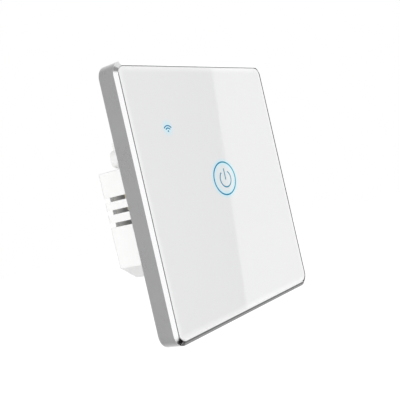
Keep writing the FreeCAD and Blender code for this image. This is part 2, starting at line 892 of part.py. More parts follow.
def transformer_winding():
    """The taped winding between the bobbin's flanges."""
    start = power_board_back + core_lift + core_yoke + bobbin_gap + bobbin_flange
    end = start + core_height - 2 * core_yoke - 2 * bobbin_gap - 2 * bobbin_flange
    flange_width = core_length - 2 * core_yoke - 2 * bobbin_gap
    half_x = flange_width / 2 - winding_inset
    half_z = bobbin_width / 2 - winding_inset
    tube_x = core_leg + 2 * bobbin_gap + 2 * bobbin_wall
    tube_z = core_width + 2 * bobbin_gap + 2 * bobbin_wall
    coil = rounded_plate(half_x, half_z, half_x / 2, (start, end))
    coil.translate(point(core_x, 0, core_z))
    return coil.cut(box_at(core_x, core_z, tube_x, tube_z, (start, end)))


def capacitor(x, z, radius, height):
    """An upright can with a rolled groove near its foot."""
    start = power_board_back + can_lift
    groove = start + radius / 2
    depth = can_groove_depth
    profile = [
        (0, start),
        (radius, start),
        (radius, groove - depth),
        (radius - depth, groove),
        (radius, groove + depth),
        (radius, start + height - depth),
        (radius - depth, start + height),
        (0, start + height),
    ]
    points = [point(x + out, y, z) for out, y in profile]
    can = Part.Face(Part.makePolygon(points + points[:1])).revolve(point(x, 0, z), point(0, 1, 0), 360)
    return joined([can] + leads(pair(x, z, radius), start))


def surge_varistor():
    """The disc that takes up surges, standing on its two wires."""
    middle = power_board_back + varistor_lift + varistor_radius
    low_x = varistor_x - varistor_thickness / 2
    face = point(low_x, middle, top_row_z)
    disc = Part.makeCylinder(varistor_radius, varistor_thickness, face, point(1, 0, 0))
    disc = disc.makeChamfer(varistor_edge_chamfer, [edge for edge in disc.Edges if edge.Closed])
    return joined([disc] + leads(pair(varistor_x, top_row_z, varistor_pin_spacing, False), middle))


def fuse():
    """The fuse: a tube with two caps, held by its bent wires."""
    axis_y = power_board_back + fuse_lift + fuse_radius + fuse_cap_step
    start = point(fuse_x - fuse_length / 2, axis_y, fuse_z)
    along = point(1, 0, 0)
    cap_radius = fuse_radius + fuse_cap_step
    solids = [Part.makeCylinder(fuse_radius, fuse_length, start, along)]
    solids.append(Part.makeCylinder(cap_radius, fuse_cap_length, start, along))
    far_cap = start + along * (fuse_length - fuse_cap_length)
    solids.append(Part.makeCylinder(cap_radius, fuse_cap_length, far_cap, along))
    wire_y = (axis_y - lead_side / 2, axis_y + lead_side / 2)
    wire_length = fuse_length + 2 * fuse_lead_reach + lead_side
    solids.append(box_at(fuse_x, fuse_z, wire_length, lead_side, wire_y))
    return joined(solids + leads(fuse_pins(), wire_y[0]))


def bridge_rectifier():
    """The bridge rectifier, a flat package on four legs."""
    foot = power_board_back
    leg_y = (foot, foot + rectifier_leg_thickness)
    body_y = (leg_y[1], leg_y[1] + rectifier_height)
    solids = [box_at(rectifier_x, rectifier_z, rectifier_length, rectifier_width, body_y)]
    length = rectifier_length + 2 * rectifier_leg_reach
    for x, z in pair(rectifier_x, rectifier_z, rectifier_leg_spacing, False):
        solids.append(box_at(x, z, length, rectifier_leg_width, leg_y))
    return joined(solids)


def choke():
    """The wound choke in its sleeve, waisted between two flanges."""
    start = power_board_back + choke_lift
    end = start + choke_length
    solids = [rod(choke_x, choke_z, choke_waist, (start, end))]
    for low in (start, end - choke_flange):
        solids.append(rod(choke_x, choke_z, choke_radius, (low, low + choke_flange)))
    return joined(solids + leads(pair(choke_x, choke_z, choke_pin_spacing), start))


def pole_places():
    """Where the terminal block's poles stand, in X."""
    return [(number - (pole_count - 1) / 2) * pole_pitch for number in range(pole_count)]


def terminal_block():
    """The moulded block: a chamber for each pole, a wire hole below and a screw hole behind."""
    body_y = (power_board_back, terminal_rear)
    body = box((-terminal_half, terminal_half), body_y, (-terminal_bottom, terminal_top))
    cutters = []
    chamber_half = cage_width / 2 + chamber_gap
    for x in pole_places():
        chamber_y = (power_board_back, chamber_rear)
        cutters.append(box((x - chamber_half, x + chamber_half), chamber_y, (chamber_floor, chamber_roof)))
        wire_start = point(x, wire_y, -terminal_bottom)
        cutters.append(Part.makeCylinder(wire_hole_radius, terminal_floor, wire_start))
        cutters.append(rod(x, clamp_z, clamp_screw_radius + running_gap, (chamber_rear, head_seat)))
        cutters.append(rod(x, clamp_z, clamp_screw_head_radius + running_gap, (head_seat, terminal_rear)))
    return cut_by(body, cutters)


def terminal_bars():
    """The tinned copper bars: one bent strip for each pole, from the cage to the board."""
    bars = []
    for x in pole_places():
        x_ends = (x - bar_width / 2, x + bar_width / 2)
        leg_z = (bar_leg_z - bar_thickness / 2, bar_leg_z + bar_thickness / 2)
        blade = box(x_ends, (bar_front, bar_back), (cage_low + bar_end_gap, leg_z[1]))
        leg = box(x_ends, (power_board_back, bar_back), leg_z)
        tail_y = (power_board_front - lead_tail, power_board_back)
        tail = box_at(x, bar_leg_z, bar_tail_width, bar_thickness, tail_y)
        bars.append(joined([blade, leg, tail]))
    return Part.makeCompound(bars)


def clamp_cage(x):
    """One cage, which the screw draws up to pinch the wire against the bar."""
    z = (cage_low, cage_low + cage_length)
    half = cage_width / 2
    outer = box((x - half, x + half), (cage_front, cage_back), z)
    room = half - cage_side_wall
    opening = box((x - room, x + room), (cage_inner_front, cage_inner_back), z)
    thread = rod(x, clamp_z, clamp_screw_radius + tip_gap, (cage_inner_back, cage_back))
    return outer.cut(opening).cut(thread)


def terminal_screw(x):
    """One captive clamp screw with a slotted head, its tip on the bar."""
    sizes = (clamp_screw_radius, clamp_screw_head_radius, clamp_screw_head_height)
    body = screw(x, clamp_z, sizes, head_seat, bar_back + tip_gap)
    head_end = head_seat + clamp_screw_head_height
    slot_y = (head_end - clamp_screw_slot_depth, head_end)
    return body.cut(box_at(x, clamp_z, 2 * clamp_screw_head_radius, clamp_screw_slot_width, slot_y))


def all_parts():
    """Every node of the switch by name."""
    shapes = {
        "glass_panel": glass_panel(),
        "glass_adhesive": glass_adhesive(),
        "bezel_frame": bezel_frame(),
        "panel_carrier": panel_carrier(),
        "base_plate": base_plate(),
        "rear_housing": rear_housing(),
        "housing_screws": housing_screws(),
        "touch_board": touch_board(),
        "board_screws": board_screws(),
        "touch_contact": touch_contact(),
        "ring_light_guide": ring_light_guide(),
        "wireless_light_guide": wireless_light_guide(),
        "indicator_leds": indicator_leds(),
        "touch_controller_chip": touch_controller_chip(),
        "radio_module": radio_module(),
        "radio_shield": radio_shield(),
        "board_header": board_header(),
        "header_socket": header_socket(),
        "power_board": power_board(),
        "relay": relay(),
        "transformer_core": transformer_core(),
        "transformer_bobbin": transformer_bobbin(),
        "transformer_winding": transformer_winding(),
        "input_capacitor": capacitor(
            input_capacitor_x, top_row_z, input_capacitor_radius, input_capacitor_height
        ),
        "output_capacitor": capacitor(
            output_capacitor_x, top_row_z, output_capacitor_radius, output_capacitor_height
        ),
        "surge_varistor": surge_varistor(),
        "fuse": fuse(),
        "bridge_rectifier": bridge_rectifier(),
        "choke": choke(),
        "terminal_block": terminal_block(),
        "terminal_bars": terminal_bars(),
    }
    for number, x in enumerate(pole_places(), start=1):
        shapes[f"clamp_cage_{number}"] = clamp_cage(x)
        shapes[f"terminal_screw_{number}"] = terminal_screw(x)
    return shapes


os.makedirs("parts", exist_ok=True)
for name, shape in all_parts().items():
    shape.exportStep(f"parts/{name}.step")
    print(name, len(shape.Solids), "solid" if shape.isValid() else "NOT VALID", round(shape.Volume, 1))
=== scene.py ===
import bpy
import bmesh
import json
import math
from mathutils import Matrix, Vector

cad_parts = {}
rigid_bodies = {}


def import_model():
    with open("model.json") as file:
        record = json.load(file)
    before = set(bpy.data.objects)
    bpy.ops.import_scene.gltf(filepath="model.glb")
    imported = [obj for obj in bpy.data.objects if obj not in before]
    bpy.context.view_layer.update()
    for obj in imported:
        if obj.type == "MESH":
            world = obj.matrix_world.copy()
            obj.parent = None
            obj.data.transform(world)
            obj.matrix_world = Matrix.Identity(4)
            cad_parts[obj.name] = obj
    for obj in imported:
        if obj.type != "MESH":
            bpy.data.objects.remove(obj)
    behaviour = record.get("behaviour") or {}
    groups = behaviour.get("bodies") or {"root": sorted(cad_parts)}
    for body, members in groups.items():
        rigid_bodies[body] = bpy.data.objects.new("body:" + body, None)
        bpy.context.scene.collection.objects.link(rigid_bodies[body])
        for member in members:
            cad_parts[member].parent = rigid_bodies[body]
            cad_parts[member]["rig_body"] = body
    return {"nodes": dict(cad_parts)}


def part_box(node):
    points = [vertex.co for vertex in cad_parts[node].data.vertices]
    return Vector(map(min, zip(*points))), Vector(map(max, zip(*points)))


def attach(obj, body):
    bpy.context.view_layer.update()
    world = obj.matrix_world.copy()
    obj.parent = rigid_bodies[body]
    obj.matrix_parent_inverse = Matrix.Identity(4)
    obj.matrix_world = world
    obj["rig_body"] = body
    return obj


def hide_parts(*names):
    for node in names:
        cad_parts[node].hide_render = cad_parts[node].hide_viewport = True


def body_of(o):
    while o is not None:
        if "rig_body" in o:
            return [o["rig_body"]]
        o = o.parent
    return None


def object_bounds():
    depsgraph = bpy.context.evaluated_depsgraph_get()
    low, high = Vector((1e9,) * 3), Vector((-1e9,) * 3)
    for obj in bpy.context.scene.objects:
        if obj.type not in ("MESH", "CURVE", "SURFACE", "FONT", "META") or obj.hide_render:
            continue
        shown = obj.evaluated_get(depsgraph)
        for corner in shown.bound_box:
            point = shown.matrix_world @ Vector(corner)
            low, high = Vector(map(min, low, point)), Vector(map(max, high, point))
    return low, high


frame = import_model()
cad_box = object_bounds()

mm = 0.001


# The studio: a pale floor and pale walls all round, as light as the photograph's plain ground.
# The floor is a wide sheet of paper, well below the switch, which is held by its wall mount.
floor_drop = 500 * mm
floor_side = 16000 * mm


class Value:
    """A socket of a node tree that can be used in sums, as a number can."""

    def __init__(self, tree, socket=None):
        self.tree = tree
        self.socket = socket

    def node(self, kind, settings=None, inputs=None, output=0):
        """A new node of that type: its settings are made first, then its sockets' values or links."""
        made = self.tree.nodes.new(kind)
        for name, setting in (settings or {}).items():
            setattr(made, name, setting)
        for name, given in (inputs or {}).items():
            feed(next(socket for socket in made.inputs if name in (socket.identifier, socket.name)), given)
        return Value(self.tree, made.outputs[output])

    def math(self, operation, first, second=0.0, third=0.0):
        """A Math node of that operation, on up to three values or numbers."""
        given = {"Value": first, "Value_001": second, "Value_002": third}
        return self.node("ShaderNodeMath", {"operation": operation}, given)

    def __add__(self, other):
        return self.math("ADD", self, other)

    def __radd__(self, other):
        return self.math("ADD", other, self)

    def __sub__(self, other):
        return self.math("SUBTRACT", self, other)

    def __rsub__(self, other):
        return self.math("SUBTRACT", other, self)

    def __mul__(self, other):
        return self.math("MULTIPLY", self, other)

    def __rmul__(self, other):
        return self.math("MULTIPLY", other, self)

    def __truediv__(self, other):
        return self.math("DIVIDE", self, other)

    def __rtruediv__(self, other):
        return self.math("DIVIDE", other, self)

    def __lt__(self, other):
        return self.math("LESS_THAN", self, other)

    def __gt__(self, other):
        return self.math("GREATER_THAN", self, other)

    def __abs__(self):
        return self.math("ABSOLUTE", self)

    def clamped(self):
        """The value kept between 0 and 1."""
        return self.math("MINIMUM", self.math("MAXIMUM", self, 0.0), 1.0)

    def blend(self, low, high):
        """The colour low where this value is 0 and high where it is 1."""
        sockets = {"Factor_Float": self}
        for name, colour in (("A_Color", low), ("B_Color", high)):
            sockets[name] = colour if isinstance(colour, Value) else (*colour, 1)
        return self.node("ShaderNodeMix", {"data_type": "RGBA"}, sockets, output=2)


def feed(socket, given):
    """Links a value to a socket, or sets a plain number or colour there."""
    if isinstance(given, Value):
        given.tree.links.new(given.socket, socket)
    else:
        socket.default_value = given


def set_sockets(shader, sockets):
    """Sets or links a shader's sockets by name."""
    for name, given in sockets.items():
        feed(shader.inputs[name], given)


def start_finish(name):
    """A new material: itself, its Principled shader and a value from which its nodes grow."""
    material = bpy.data.materials.new(name)
    material.use_nodes = True
    shader = material.node_tree.nodes["Principled BSDF"]
    return material, shader, Value(material.node_tree)


def point_on(start):
    """The point on the piece, in metres."""
    return start.node("ShaderNodeTexCoord", output="Object")


def noise(start, place, scale, detail):
    """Soft noise over a piece, from 0 to 1."""
    return start.node("ShaderNodeTexNoise", None, {"Vector": place, "Scale": scale, "Detail": detail})


def piece_from(mesh, name, finish):
    """An object in the scene made from a finished bmesh, with one material."""
    data = bpy.data.meshes.new(name)
    mesh.to_mesh(data)
    mesh.free()
    data.materials.append(finish)
    piece = bpy.data.objects.new(name, data)
    bpy.context.scene.collection.objects.link(piece)
    return piece


world = bpy.data.worlds.new("studio_walls")
world.use_nodes = True
walls = world.node_tree.nodes["Background"]
walls.inputs["Color"].default_value = (1.0, 1.0, 1.0, 1.0)
walls.inputs["Strength"].default_value = 1.0
bpy.context.scene.world = world
bpy.context.scene.view_settings.view_transform = "Standard"

paper, shader, start = start_finish("floor_paper")
fibre = noise(start, point_on(start), 40.0, 4.0)
set_sockets(shader, {
    "Base Color": fibre.blend((0.90, 0.90, 0.90), (0.93, 0.93, 0.93)),
    "Roughness": 0.9,
    "Emission Color": (1.0, 1.0, 1.0, 1.0),
    "Emission Strength": 0.15,
})
mesh = bmesh.new()
bmesh.ops.create_grid(mesh, x_segments=1, y_segments=1, size=floor_side / 2)
bmesh.ops.translate(mesh, verts=mesh.verts, vec=(0, 0, cad_box[0][2] - floor_drop))
piece_from(mesh, "floor", paper)


# Studio cards: sheets of grey, black and white board. The cards show only as reflections in the metal
# and the glass, each in the place where that face sends the camera's line. Three shades and a light
# show only as the light that falls on the white plastic.
def card(name, strength, middle, width, height, facing=None, lean=0.0, shade=False):
    """A sheet of board of one brightness, facing the switch: for reflections, or as a soft shade."""
    material, shader, _ = start_finish(name)
    set_sockets(shader, {
        "Base Color": (0, 0, 0, 1),
        "Specular IOR Level": 0.0,
        "Emission Color": (strength, strength, strength, 1.0),
        "Emission Strength": 1.0,
    })
    mesh = bmesh.new()
    bmesh.ops.create_grid(mesh, x_segments=1, y_segments=1, size=0.5)
    bmesh.ops.scale(mesh, verts=mesh.verts, vec=(width, height, 1))
    toward = Vector(facing or middle).to_track_quat("Z", "Y").to_matrix().to_4x4()
    turn = toward @ Matrix.Rotation(math.radians(lean), 4, "Z")
    bmesh.ops.transform(mesh, verts=mesh.verts, matrix=Matrix.Translation(middle) @ turn)
    board = piece_from(mesh, name, material)
    board.visible_camera = False
    board.visible_diffuse = shade
    board.visible_glossy = not shade
    board.visible_shadow = False
    board.visible_transmission = False


card("card_below", 0.40, (0.353, -0.037, -0.241), 0.24, 0.28)
card("card_above", 1.55, (0.353, -0.037, 0.241), 0.24, 0.28)
card("card_front", 1.33, (-0.22, -0.90, 0.0), 0.7, 1.2)
card("card_low_corner", 0.05, (0.062, -0.271, -0.361), 0.24, 0.20)
card("card_next_corner", 0.16, (0.222, -0.135, -0.360), 0.16, 0.16)
card("card_high_corner", 0.33, (-0.044, -0.345, 0.301), 0.17, 0.17)
card("card_glass", 0.0, (0.515, -0.4139, 0.018), 0.25, 0.40, facing=(0, -1, 0), lean=-8.33)
card("shade_below", 0.05, (0.25, 0.20, -0.22), 0.55, 0.50, facing=(0, 0, -1), shade=True)
card("shade_behind", 0.40, (0.0, 0.50, 0.0), 1.0, 1.0, facing=(0, 1, 0), shade=True)
card("shade_over", 0.40, (-0.05, 0.28, 0.45), 0.5, 0.5, facing=(0, 0, 1), shade=True)
card("light_left", 1.6, (-0.60, 0.05, 0.0), 0.6, 0.6, shade=True)

# A long grey sheet is bent round the switch behind its left side. It is what the frame's wall
# reflects all the way round both left corners, and it grows lighter towards its ends.
sheet_radius = 0.50
sheet_reach = (0.19, 0.68)
sheet_half_turn = math.radians(128)
sheet_steps = 48
paling_from, paling_over = -0.10, 0.4
bent_sheet, shader, start = start_finish("bent_grey_sheet")
rightward = start.node("ShaderNodeSeparateXYZ", None, {"Vector": point_on(start)}, "X")
paling = ((rightward - paling_from) / paling_over).clamped()
set_sockets(shader, {
    "Base Color": (0, 0, 0, 1),
    "Specular IOR Level": 0.0,
    "Emission Color": paling.blend((0.42, 0.42, 0.42), (0.80, 0.80, 0.80)),
    "Emission Strength": 1.0,
})
mesh = bmesh.new()
ends = [mesh.verts.new((-sheet_radius, y, 0)) for y in sheet_reach]
bmesh.ops.rotate(mesh, verts=ends, matrix=Matrix.Rotation(-sheet_half_turn, 3, "Y"))
edge = mesh.edges.new(ends)
bmesh.ops.spin(mesh, geom=ends + [edge], axis=(0, 1, 0), angle=2 * sheet_half_turn, steps=sheet_steps)
sheet = piece_from(mesh, "bent_sheet", bent_sheet)
sheet.visible_camera = False
sheet.visible_diffuse = False
sheet.visible_shadow = False
sheet.visible_transmission = False


# The camera stands to the left of the plate, close to its level, and is tilted to one side.
# Its place, turn and lens come from a fit to the plate's eight outline points in the photograph.
camera_place = (-208.9 * mm, -142.5 * mm, 0.0)
camera_azimuth = math.radians(-54.91)
camera_pitch = math.radians(0.55)
camera_roll = math.radians(-12.94)
focal_pixels = 739.0
image_pixels = 400
sensor_width = 36.0
back = Vector((
    math.sin(camera_azimuth) * math.cos(camera_pitch),
    -math.cos(camera_azimuth) * math.cos(camera_pitch),
    math.sin(camera_pitch),
))
right = (-back).cross(Vector((0, 0, 1))).normalized()
up = right.cross(-back)
rolled_right = right * math.cos(camera_roll) + up * math.sin(camera_roll)
rolled_up = up * math.cos(camera_roll) - right * math.sin(camera_roll)
lens = bpy.data.cameras.new("camera")
lens.sensor_width = sensor_width
lens.lens = focal_pixels * sensor_width / image_pixels
lens.clip_start = 5 * mm
camera = bpy.data.objects.new("camera", lens)
turn = Matrix((rolled_right, rolled_up, back)).transposed().to_4x4()
camera.matrix_world = Matrix.Translation(camera_place) @ turn
bpy.context.scene.collection.objects.link(camera)
bpy.context.scene.camera = camera


# The glass front: 2 mm float glass, cut square with round corners and chamfered edges. Its back is
# screen printed white, and double-sided tape holds it in the frame. Its face is drawn a hair behind
# the frame's, to leave room for the lit signs, which glow a little into the glass round them.
sign_height = 0.016 * mm
glass_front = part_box("glass_panel")[0][1]
glass_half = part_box("glass_panel")[1][0] / mm
front_y = glass_front / mm
cut_edge_width = 0.25
side_white_depth = 0.11
end_white_depth = 0.36
painted_edge_light_width = 2.0
painted_edge_light_share = 0.9
ring_place = (1.4, 2.9)
ring_radius = 6.05
ring_line = 0.50
ring_widening = 1.07
ring_flattening = 0.925
ring_glow_reach = 1.5
ring_glow_share = 0.9
disc_glow_share = 0.12
wireless_place = (-24.0, 20.8)
wireless_height = 2.0
wireless_glow_reach = 3.0
weld_distance = 0.0005 * mm


def measured(start):
    """The point on the piece: as a vector in metres, then along x, y and z in millimetres."""
    point = point_on(start)
    return (point, *(start.node("ShaderNodeSeparateXYZ", None, {"Vector": point}, axis) / mm
                     for axis in ("X", "Y", "Z")))


def away_from(start, x, z, center):
    """The distance in millimetres, seen from the front, from a centre."""
    across, upward = x - center[0], z - center[1]
    return start.math("SQRT", across * across + upward * upward)


printed_glass, shader, start = start_finish("printed_glass")
place, x, y, z = measured(start)
cloud = noise(start, place, 18.0, 2.0)
across_ring, up_ring = (x - ring_place[0]) / ring_widening, (z - ring_place[1]) / ring_flattening
from_middle = away_from(start, across_ring, up_ring, (0, 0))
ring_glow = (1.0 - abs(from_middle - ring_radius) / ring_glow_reach).clamped()
disc_glow = disc_glow_share * (from_middle < ring_radius)
wireless_middle = (wireless_place[0], wireless_place[1] + wireless_height / 2)
from_wireless = away_from(start, x, z, wireless_middle)
wireless_glow = (1.0 - from_wireless / wireless_glow_reach).clamped()
glow = (ring_glow_share * ring_glow + disc_glow + wireless_glow).clamped()
white = (0.6 * cloud).clamped().blend((0.825, 0.827, 0.83), (0.845, 0.845, 0.847))
from_edge = glass_half - start.math("MAXIMUM", abs(x), abs(z))
# Painted light: in a band along the glass's edge the white print is painted paler, as light coming in at
# the edge.
edge_light_mask = (1.0 - from_edge / painted_edge_light_width).clamped()
# The cut edge, bare of print, is painted near-black: partly the clear glass there, partly painted shade of
# the gap round the glass. At the top and foot the print's white reaches further back before the dark
# starts.
white_depth = side_white_depth + (end_white_depth - side_white_depth) * (abs(z) > abs(x))
bare_edge_painted_shade = (y - front_y > white_depth) * (from_edge < cut_edge_width)
print_with_edge_light = (painted_edge_light_share * edge_light_mask).blend(white, (0.96, 0.96, 0.96))
set_sockets(shader, {
    "Base Color": bare_edge_painted_shade.blend(glow.blend(print_with_edge_light, (0.55, 0.80, 0.84)), (0.05, 0.065, 0.06)),
    "Roughness": 0.03,
    "IOR": 1.52,
    "Emission Color": glow.blend((0, 0, 0), (0.0, 0.08, 0.15)),
    "Emission Strength": 1.0,
})


def copy_of(node):
    """A bmesh of a node's shape, with its loose triangles joined to each other and paired."""
    mesh = bmesh.new()
    mesh.from_mesh(frame["nodes"][node].data)
    bmesh.ops.remove_doubles(mesh, verts=mesh.verts, dist=weld_distance)
    bmesh.ops.join_triangles(mesh, faces=mesh.faces, angle_face_threshold=math.radians(0.5),
                             angle_shape_threshold=math.radians(60))
    return mesh


def stand_in(mesh, name, finish, node, edge_radius, segments=2, sharp=28):
    """Puts a finished piece in a node's place, riding with it, with its sharp edges rounded off."""
    original = frame["nodes"][node]
    for face in mesh.faces:
        face.smooth = True
    piece = piece_from(mesh, name, finish)
    piece.data.set_sharp_from_angle(angle=math.radians(sharp))
    rounding = piece.modifiers.new("rounded_edges", "BEVEL")
    rounding.width = edge_radius
    rounding.segments = segments
    rounding.limit_method = "ANGLE"
    rounding.angle_limit = math.radians(sharp)
    rounding.loop_slide = False
    shading = piece.modifiers.new("flat_faces_stay_flat", "WEIGHTED_NORMAL")
    shading.weight = 100
    shading.keep_sharp = True
    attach(piece, body_of(original)[0])
    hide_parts(node)


mesh = copy_of("glass_panel")
front = [vert for vert in mesh.verts if vert.co.y < glass_front + sign_height]
bmesh.ops.translate(mesh, verts=front, vec=(0, sign_height, 0))
stand_in(mesh, "glass_front", printed_glass, "glass_panel", 0.03 * mm)


# The two lit signs: a power sign in a ring, and a small wireless sign in the upper left corner.
# On the real glass they are gaps in the print, filled with tinted ink and lit from behind.
sign_gap = 0.001 * mm
sign_top = glass_front + sign_gap
sign_depth = sign_height - sign_gap
sign_blue = (0.020, 0.16, 0.32)
sign_teal = (0.015, 0.24, 0.32)
tint_drift = 0.07
power_radius = 3.05
power_place = (1.8, 2.7)
power_line = 0.46
power_gap = 78
power_bar = (2.55, 6.35)
wireless_radii = (0.98, 1.75)
wireless_spread = 104
wireless_line = 0.34
wireless_dot = 0.26
wireless_widening = 1.25
degrees_a_step = 5
fewest_steps = 12
dot_segments = 20

lit_sign, shader, start = start_finish("lit_sign")
place, x, _, _ = measured(start)
tint = noise(start, place, 160.0, 1.0)
drift = (0.5 + tint_drift * (x - ring_place[0]) + 0.5 * (tint - 0.5)).clamped()
set_sockets(shader, {
    "Base Color": drift.blend(sign_blue, sign_teal),
    "Roughness": 0.05,
    "IOR": 1.52,
    "Emission Color": drift.blend((0.010, 0.045, 0.075), (0.012, 0.06, 0.075)),
    "Emission Strength": 1.0,
})


def stroke_round(mesh, center, radius, line, from_angle, to_angle):
    """A flat round stroke on the glass, from one angle to another, with round ends."""
    ends = []
    for out in (radius - line / 2, radius + line / 2):
        for deep in (0, sign_depth):
            ends.append(mesh.verts.new(((center[0] + out) * mm, sign_top + deep, center[1] * mm)))
    order = (ends[0], ends[2], ends[3], ends[1])
    edges = [mesh.edges.new((order[n], order[(n + 1) % 4])) for n in range(4)]
    middle = (center[0] * mm, 0, center[1] * mm)
    first = Matrix.Rotation(-math.radians(from_angle), 3, "Y")
    bmesh.ops.rotate(mesh, verts=ends, cent=middle, matrix=first)
    sweep = to_angle - from_angle
    whole = sweep == 360
    bmesh.ops.spin(mesh, geom=ends + edges, cent=middle, axis=(0, 1, 0), angle=-math.radians(sweep),
                   steps=max(fewest_steps, round(sweep / degrees_a_step)), use_merge=whole)
    if whole:
        return
    bmesh.ops.holes_fill(mesh, edges=[edge for edge in mesh.edges if edge.is_boundary])
    for angle in (from_angle, to_angle):
        turn = math.radians(angle)
        stroke_end(mesh, (center[0] + radius * math.cos(turn), center[1] + radius * math.sin(turn)), line)


def stroke_end(mesh, center, line):
    """A flat round dot on the glass, as wide as a line."""
    spot = Matrix.Translation((center[0] * mm, sign_top + sign_depth / 2, center[1] * mm))
    upright = Matrix.Rotation(math.radians(90), 4, "X")
    bmesh.ops.create_cone(mesh, cap_ends=True, segments=dot_segments, radius1=line / 2 * mm,
                          radius2=line / 2 * mm, depth=sign_depth, matrix=spot @ upright)


def sign_piece(mesh, name, center, widening, flattening=1.0):
    """A sign on the glass that moves with the panel, a little wider than high as in the photograph."""
    to_middle = Matrix.Translation((-center[0] * mm, 0, -center[1] * mm))
    bmesh.ops.scale(mesh, verts=mesh.verts, vec=(widening, 1, flattening), space=to_middle)
    bmesh.ops.recalc_face_normals(mesh, faces=mesh.faces)
    sign = piece_from(mesh, name, lit_sign)
    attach(sign, "front_panel")


mesh = bmesh.new()
stroke_round(mesh, ring_place, ring_radius, ring_line, 0, 360)
sign_piece(mesh, "ring_sign", ring_place, ring_widening, ring_flattening)
mesh = bmesh.new()
stroke_round(mesh, power_place, power_radius, power_line, 90 + power_gap / 2, 450 - power_gap / 2)
sign_piece(mesh, "power_arc_sign", ring_place, ring_widening, ring_flattening)
mesh = bmesh.new()
bar_middle = (power_place[0] * mm, sign_top + sign_depth / 2, sum(power_bar) / 2 * mm)
bar_size = (power_line * mm, sign_depth, (power_bar[1] - power_bar[0]) * mm)
bmesh.ops.create_cube(mesh, size=1, matrix=Matrix.Translation(bar_middle) @ Matrix.Diagonal((*bar_size, 1)))
for height in power_bar:
    stroke_end(mesh, (power_place[0], height), power_line)
sign_piece(mesh, "power_bar_sign", ring_place, ring_widening, ring_flattening)
mesh = bmesh.new()
arc_from, arc_to = 90 - wireless_spread / 2, 90 + wireless_spread / 2
for radius in wireless_radii:
    stroke_round(mesh, wireless_place, radius, wireless_line, arc_from, arc_to)
stroke_end(mesh, wireless_place, 2 * wireless_dot)
sign_piece(mesh, "wireless_sign", wireless_place, wireless_widening)


# The tape behind the glass: a ring of white double-sided foam tape, die cut in one piece.
# It holds the glass on the frame's ledge and the carrier ring on the glass.
def cells_over(start, place, scale):
    """Small round cells over a piece, from 0 in their middles to 1."""
    return start.node("ShaderNodeTexVoronoi", None, {"Vector": place, "Scale": scale})


def raised_by(start, height, strength, distance):
    """The surface raised by a height, for a shader's Normal, with the distance in millimetres."""
    return start.node("ShaderNodeBump", None,
                      {"Height": height, "Strength": strength, "Distance": distance * mm})


def dress(node, finish):
    """Gives a node of the model its finish."""
    frame["nodes"][node].data.materials[0] = finish


foam_tape, shader, start = start_finish("foam_tape")
cells = cells_over(start, point_on(start), 5200.0)
set_sockets(shader, {
    "Base Color": cells.blend((0.80, 0.80, 0.79), (0.90, 0.90, 0.89)),
    "Roughness": 0.85,
    "Normal": raised_by(start, cells, 0.5, 0.03),
})
dress("glass_adhesive", foam_tape)


# The frame round the glass: aluminium, cast and then turned on its face to a bright bevel. Its side
# wall is brushed along its length. In the gap round the glass its inner wall is painted near-black at
# the sides as painted shade, and glows with painted light, faintly at the top and pale at the foot,
# where a painted shade line runs along the bevel's inner edge.
grain_across = 9000.0
grain_along = 260.0
brushed_from = 0.84
gap_reach = 0.23
side_gap_more = 0.08
gap_depth = 1.6
gap_middle = 0.1
upper_light_share = 0.3
corner_reach = 2.4
foot_line_reach = 0.85
foot_line_depth = 0.6
foot_line_end = 1.5
frame_metal, shader, start = start_finish("frame_metal")
place, x, y, z = measured(start)
brushing = {"Vector": place, "Scale": (grain_along, grain_across, grain_along)}
lines = noise(start, start.node("ShaderNodeMapping", None, brushing), 1.0, 3.0)
clouds = noise(start, place, 90.0, 2.0)
brushed = y > front_y + brushed_from
in_gap = start.math("MAXIMUM", abs(x) - side_gap_more, abs(z)) < glass_half + gap_reach
in_gap = in_gap * (y < front_y + gap_depth)
between_corners = in_gap * (abs(x) < glass_half - corner_reach)
# Painted light: the inner wall above the glass glows faintly, and the one below it glows pale.
painted_upper_glow = between_corners * (z > glass_half + gap_middle)
painted_foot_glow = between_corners * (z < -glass_half - gap_middle)
# Painted shade: the inner wall at the sides of the gap is painted near-black.
painted_side_shade = in_gap * (z < glass_half - corner_reach)
# Painted shade: a dark line painted along the bevel's inner edge at the foot.
painted_foot_shade_line = (z < -glass_half - gap_reach) * (z > -glass_half - foot_line_reach)
painted_foot_shade_line = painted_foot_shade_line * (y < front_y + foot_line_depth) * (abs(x) < glass_half - foot_line_end)
bright = clouds.blend((0.725, 0.725, 0.73), (0.75, 0.75, 0.755))
bright_with_shade_line = painted_foot_shade_line.blend(bright, (0.40, 0.40, 0.405))
set_sockets(shader, {
    "Base Color": painted_side_shade.blend(bright_with_shade_line, (0.16, 0.16, 0.165)),
    "Metallic": 1.0,
    "Roughness": 0.16 + 0.05 * clouds + brushed * (0.07 + 0.06 * lines),
    "Emission Color": (upper_light_share * painted_upper_glow + painted_foot_glow).blend((0, 0, 0), (0.80, 0.80, 0.80)),
    "Emission Strength": 1.0,
    "Normal": raised_by(start, lines, 0.05, 0.01),
})
stand_in(copy_of("bezel_frame"), "metal_frame", frame_metal, "bezel_frame", 0.10 * mm, segments=3)


